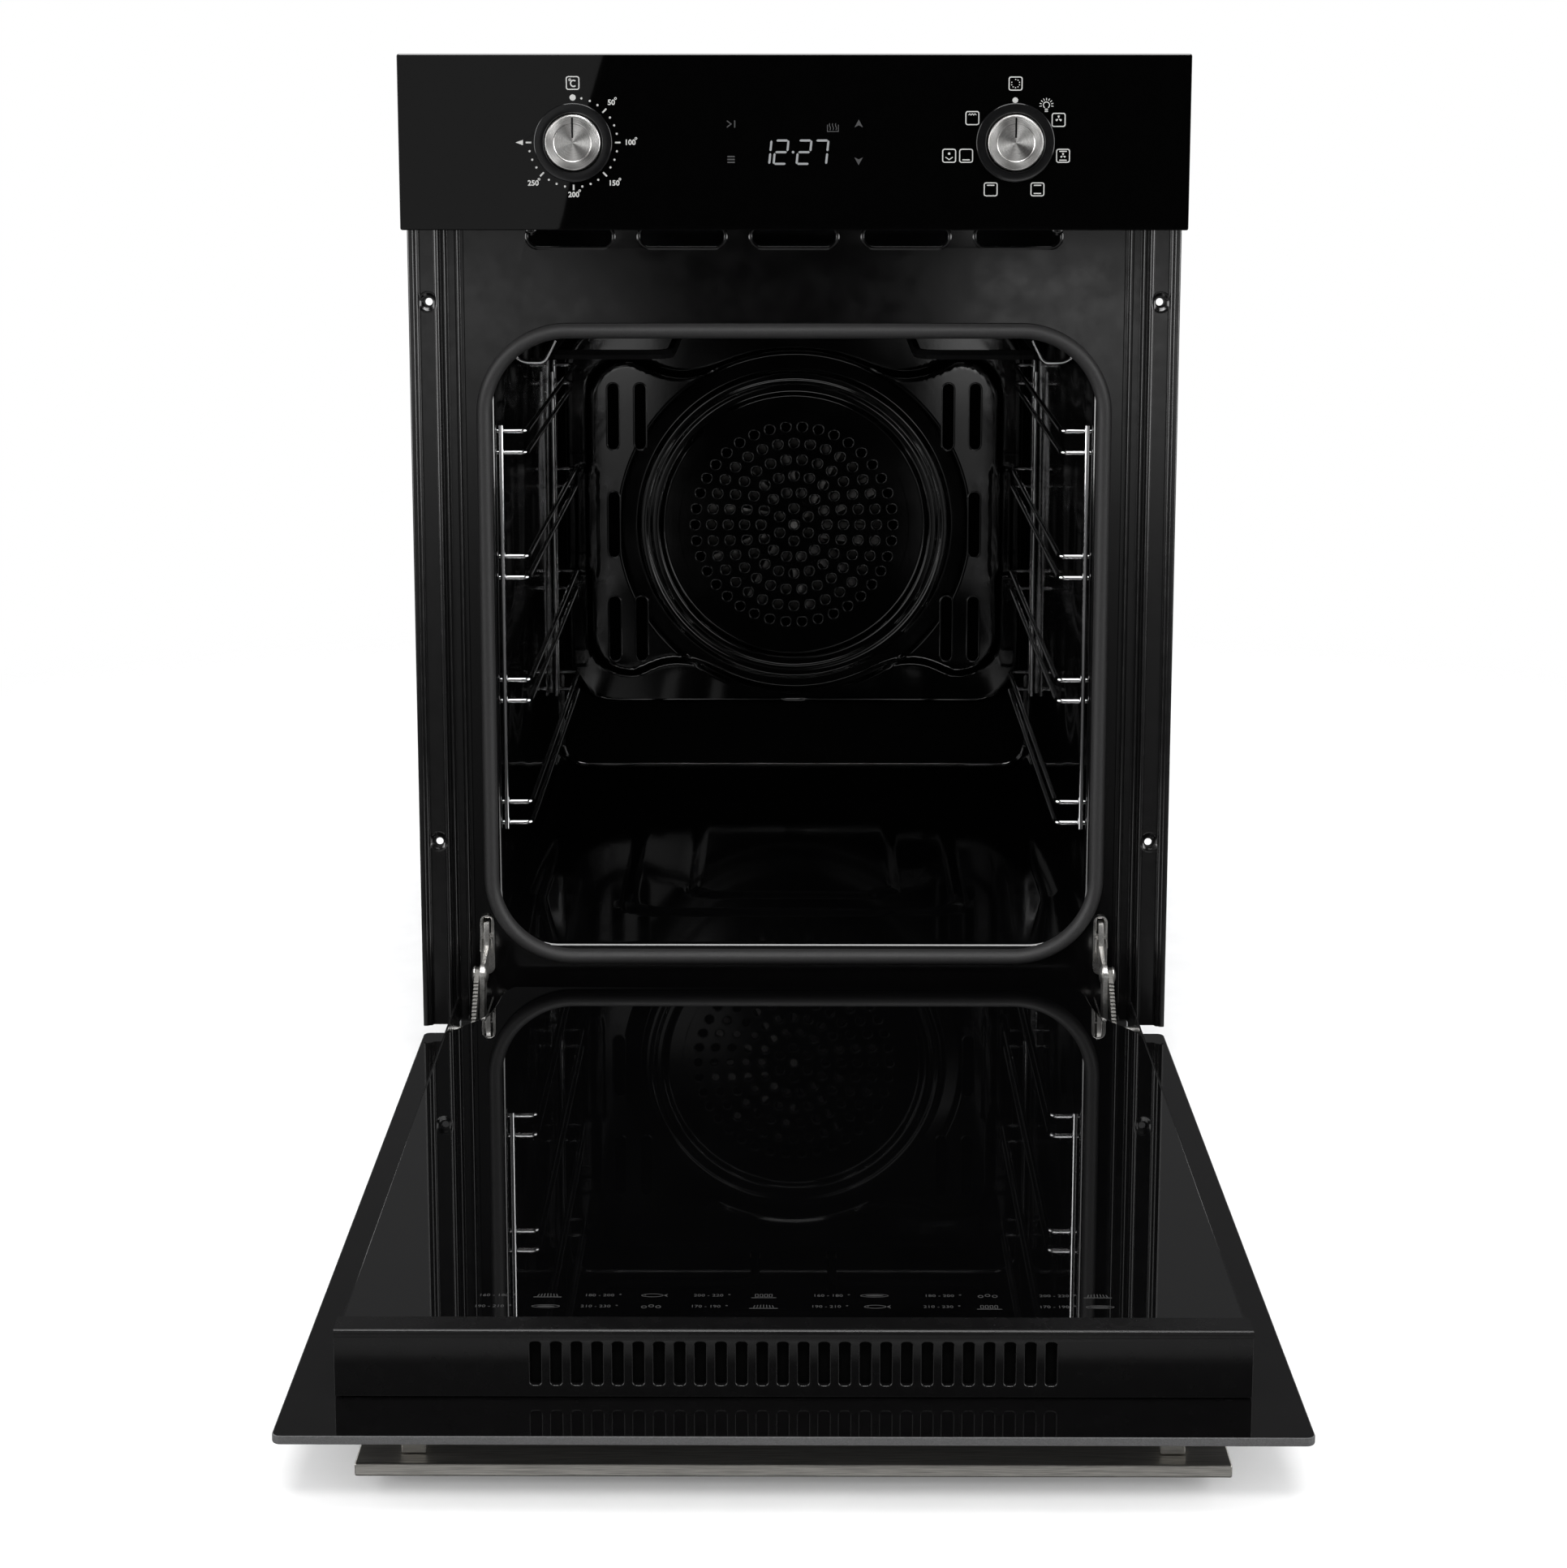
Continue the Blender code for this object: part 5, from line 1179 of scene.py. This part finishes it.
def receiver(word):
    low, high = cad(f"hinge_receiver_{word}")
    middle = (low.x + high.x) / 2
    slot = rounded(middle - 2.3, middle + 2.3, 65.0, 74.4, 0.5, 3)
    plate = flat([front_outline(low, high, 4.2, 8), slot], low.y, high.y, edge=0.4)
    piece(f"receiver_{word}", plate, "zinc_plate", node=f"hinge_receiver_{word}")


def arm(side, word):
    """Flat arm with a hook for the receiver, on the door's pin, with its clip and rivet."""
    x = side * HINGE_X
    back, tongue = 10.5, 66.4
    outline = (arc(*DOOR_AXIS, 6.0, 180, 360, 12)
               + [(-7, 40), (-2, 45), (back - 2, 51), (back, 54), (back, tongue), (24.2, tongue),
                  (24.2, 60.4), (27.2, 60.4), (27.2, 72.9), (back - 1.4, 72.9), (back - 3.1, 69.4),
                  (back - 3.1, 59), (-7, 55)]
               + arc(*LINK_AXIS, 6.5, 70, 180, 8))
    plate = flat([outline], x - 1.5, x + 1.5, "YZ", edge=0.35)
    clip = band(bent([(-3.5, 55.0), (-3.2, 63.6), (3.2, 63.6), (3.5, 57.5)], 1.4, 4), 0.9)
    strap = moved(prism(clip, "Y", 8.3, 12.6), x + side * 0.2)
    pin = tube([(side * 179, *DOOR_AXIS), (side * 202.6, *DOOR_AXIS)], 2.35, 20)
    piece(f"arm_{word}", [plate, pin, rivet(side * 184.6, -side, 5.2), strap], "zinc_plate",
          node=f"hinge_arm_{word}")


def link(side, word):
    """Ribbed link beside the arm, with the pin it turns on and that pin's head."""
    y, z = LINK_AXIS
    turn = math.atan2(LINK_REACH[1], LINK_REACH[0])
    along = math.degrees(turn)
    shape = arc(y, z, 4.5, along + 60, along + 300, 12)
    shape += arc(y + LINK_REACH[0], z + LINK_REACH[1], 3.0, along - 90, along + 90, 8)
    lower, upper = sorted((side * 187.9, side * 190.9))
    parts = [flat([shape], lower, upper, "YZ", edge=0.35),
             tube([(side * 183.0, y, z), (side * 190.0, y, z)], 2.4, 20)]
    for k in range(RIBS):
        reach, out = 7.0 + 2.3 * k, 4.15 - 0.055 * k
        rib = block((lower, upper), (-0.6, 0.6), (-0.7, 0.9), 0.25)
        parts.append(moved(rib, 0, y + reach * math.cos(turn) + out * math.sin(turn),
                           z + reach * math.sin(turn) - out * math.cos(turn), turn=(along, "X")))
    piece(f"link_{word}", parts, "dark_zinc", f"hinge_link_{word}", f"hinge_link_{word}",
          at=(side * HINGE_X, y, z))
    piece(f"link_rivet_{word}", rivet(side * 190.9, side, 5.0), "zinc_plate", f"hinge_link_{word}")


# ---- stage, in metres -----------------------------------------------------------------------------
CARD_Y = -2.2                 # the reflection cards stand this far in front
SKY = ((0.0, 0.002), (0.45, 0.004), (0.52, 0.10), (0.75, 0.11), (1.0, 0.12))


def light(name, size, location, target, energy):
    data = bpy.data.lights.new(name, "AREA")
    data.shape = "RECTANGLE"
    data.size, data.size_y = size
    data.energy = energy
    obj = linked(name, data)
    obj.location = location
    obj.rotation_euler = (Vector(target) - Vector(location)).to_track_quat("-Z", "Y").to_euler()
    obj.visible_camera = False


def card(name, corners, fade):
    """A glowing card for reflections, out of the camera's sight: fade lists (height, strength)."""
    bm = bmesh.new()
    bm.faces.new([bm.verts.new((x, CARD_Y, z)) for x, z in corners])
    data = mesh_data(name, bm)
    graph = Graph(bpy.data.materials.new(name), "Material Output")
    start, end = fade[0][0], fade[-1][0]
    height = graph.remap(graph.axes()["Z"], 0.0, 1.0, start, end)
    tone = graph.ramp(height, [((z - start) / (end - start), (value,) * 3) for z, value in fade])
    graph.put("Surface", graph.node("ShaderNodeEmission", {"Color": tone}).outputs[0])
    data.materials.append(graph.owner)
    obj = linked(name, data)
    obj.visible_camera = False
    obj.visible_shadow = False


def surroundings():
    """White to the camera, even light for soft shading, and a dark front in reflections."""
    world = bpy.data.worlds.new("studio")
    scene.world = world
    graph = Graph(world, "Background", "Generated")
    depth = graph.remap(graph.axes()["Y"], 0.0, 1.0, -1.0, 1.0)
    seen = graph.ramp(depth, [(position, (value, value, value * 1.01)) for position, value in SKY])
    rays = graph.node("ShaderNodeLightPath").outputs
    soft = graph.mix_colours(rays["Is Diffuse Ray"], seen, (0.85, 0.85, 0.86, 1.0))
    graph.put("Color", graph.mix_colours(rays["Is Camera Ray"], soft, (1.0, 1.0, 1.0, 1.0)))


def studio():
    surroundings()
    scene.view_settings.view_transform = "Standard"
    low_fade = [(-0.75, 0.05), (-0.2, 0.15), (0.0, 0.28)]
    card("reflection_card_left", [(-3.2, -0.75), (-0.24, -0.75), (-0.24, 0.29), (-0.343, 0.29),
                                  (-0.262, 0.599), (-0.10, 1.22), (-3.2, 1.22)],
         low_fade + [(0.2, 0.75), (0.31, 0.95), (0.355, 0.32), (1.22, 0.30)])
    card("reflection_card_right", [(0.24, -0.75), (3.2, -0.75), (3.2, 0.33), (0.24, 0.33)],
         low_fade + [(0.2, 1.1), (0.33, 1.6)])
    card("reflection_card_low", [(-3.2, -1.3), (3.2, -1.3), (3.2, -0.8), (-3.2, -0.8)],
         [(-1.3, 1.1), (-1.0, 1.1), (-0.9, 0.36), (-0.8, 0.3)])
    for side, word in SIDES:
        light(f"side_{word}", (1.6, 1.8), (side * 2.2, -1.0, 0.8), (0, 0, 0.3), 45)
    light("front_high", (1.4, 0.5), (0, -1.7, 2.1), (0, 0, 0.4), 25)
    light("top_soft", (1.6, 1.0), (0, -0.5, 2.6), (0, 0, 0.3), 26)
    for side, word in SIDES:
        light(f"rear_{word}", (2.4, 2.0), (side * 2.6, 2.6, 1.6), (0, 0.3, 0.3), 34)
    floor()


def floor():
    """Pale floor that fades out into the white surroundings."""
    bm = bmesh.new()
    bmesh.ops.create_grid(bm, x_segments=1, y_segments=1, size=3.0)
    data = mesh_data("studio_floor", bm)
    paint = painted("floor_paper", (0.86, 0.86, 0.86), 0.9, grain=30, spread=0.02)
    fade = paint.remap(paint.length(paint.place), 0.0, 1.0, 0.45, 1.3)
    clear = paint.node("ShaderNodeBsdfTransparent").outputs[0]
    mix = paint.node("ShaderNodeMixShader", {0: fade, 1: paint.shader.outputs[0], 2: clear})
    paint.put("Surface", mix.outputs[0], paint.tree.nodes["Material Output"])
    data.materials.append(paint.owner)
    obj = linked("studio_floor", data)
    obj.location = (0, 0.1, -0.03)
    obj.visible_glossy = False


def camera():
    data = bpy.data.cameras.new("camera")
    data.sensor_width = 36.0
    data.lens = 62.463
    data.shift_y = -0.1894
    data.clip_end = 50
    obj = linked("camera", data)
    obj.location = (0.0003, -1.5778, 0.5877)
    obj.rotation_euler = (math.radians(90 - 8.868), 0, math.radians(0.2334))
    scene.camera = obj


def carried_over():
    """CAD pieces that are shown as they are get the plain finish of their slot."""
    slots = {entry["node"]: entry["material_slot"] for entry in frame["record"]["subparts"]}
    for name, obj in frame["nodes"].items():
        holder = name in ("glass_holder_front", "glass_holder_rear")
        obj.data.materials.clear()
        obj.data.materials.append(LOOKS["dull_enamel"] if holder else FINISHES[slots[name]][0].owner)
        obj.data.shade_smooth()
        obj.data.set_sharp_from_angle(angle=math.radians(32))


def main():
    carried_over()
    panel()
    front_frame()
    for side, word in SIDES:
        column(side, word)
        hinge(side, word)
        rack(side, word)
    seal()
    liner()
    baffle()
    fan()
    casing()
    terminal_cover()
    door()
    studio()
    camera()


main()
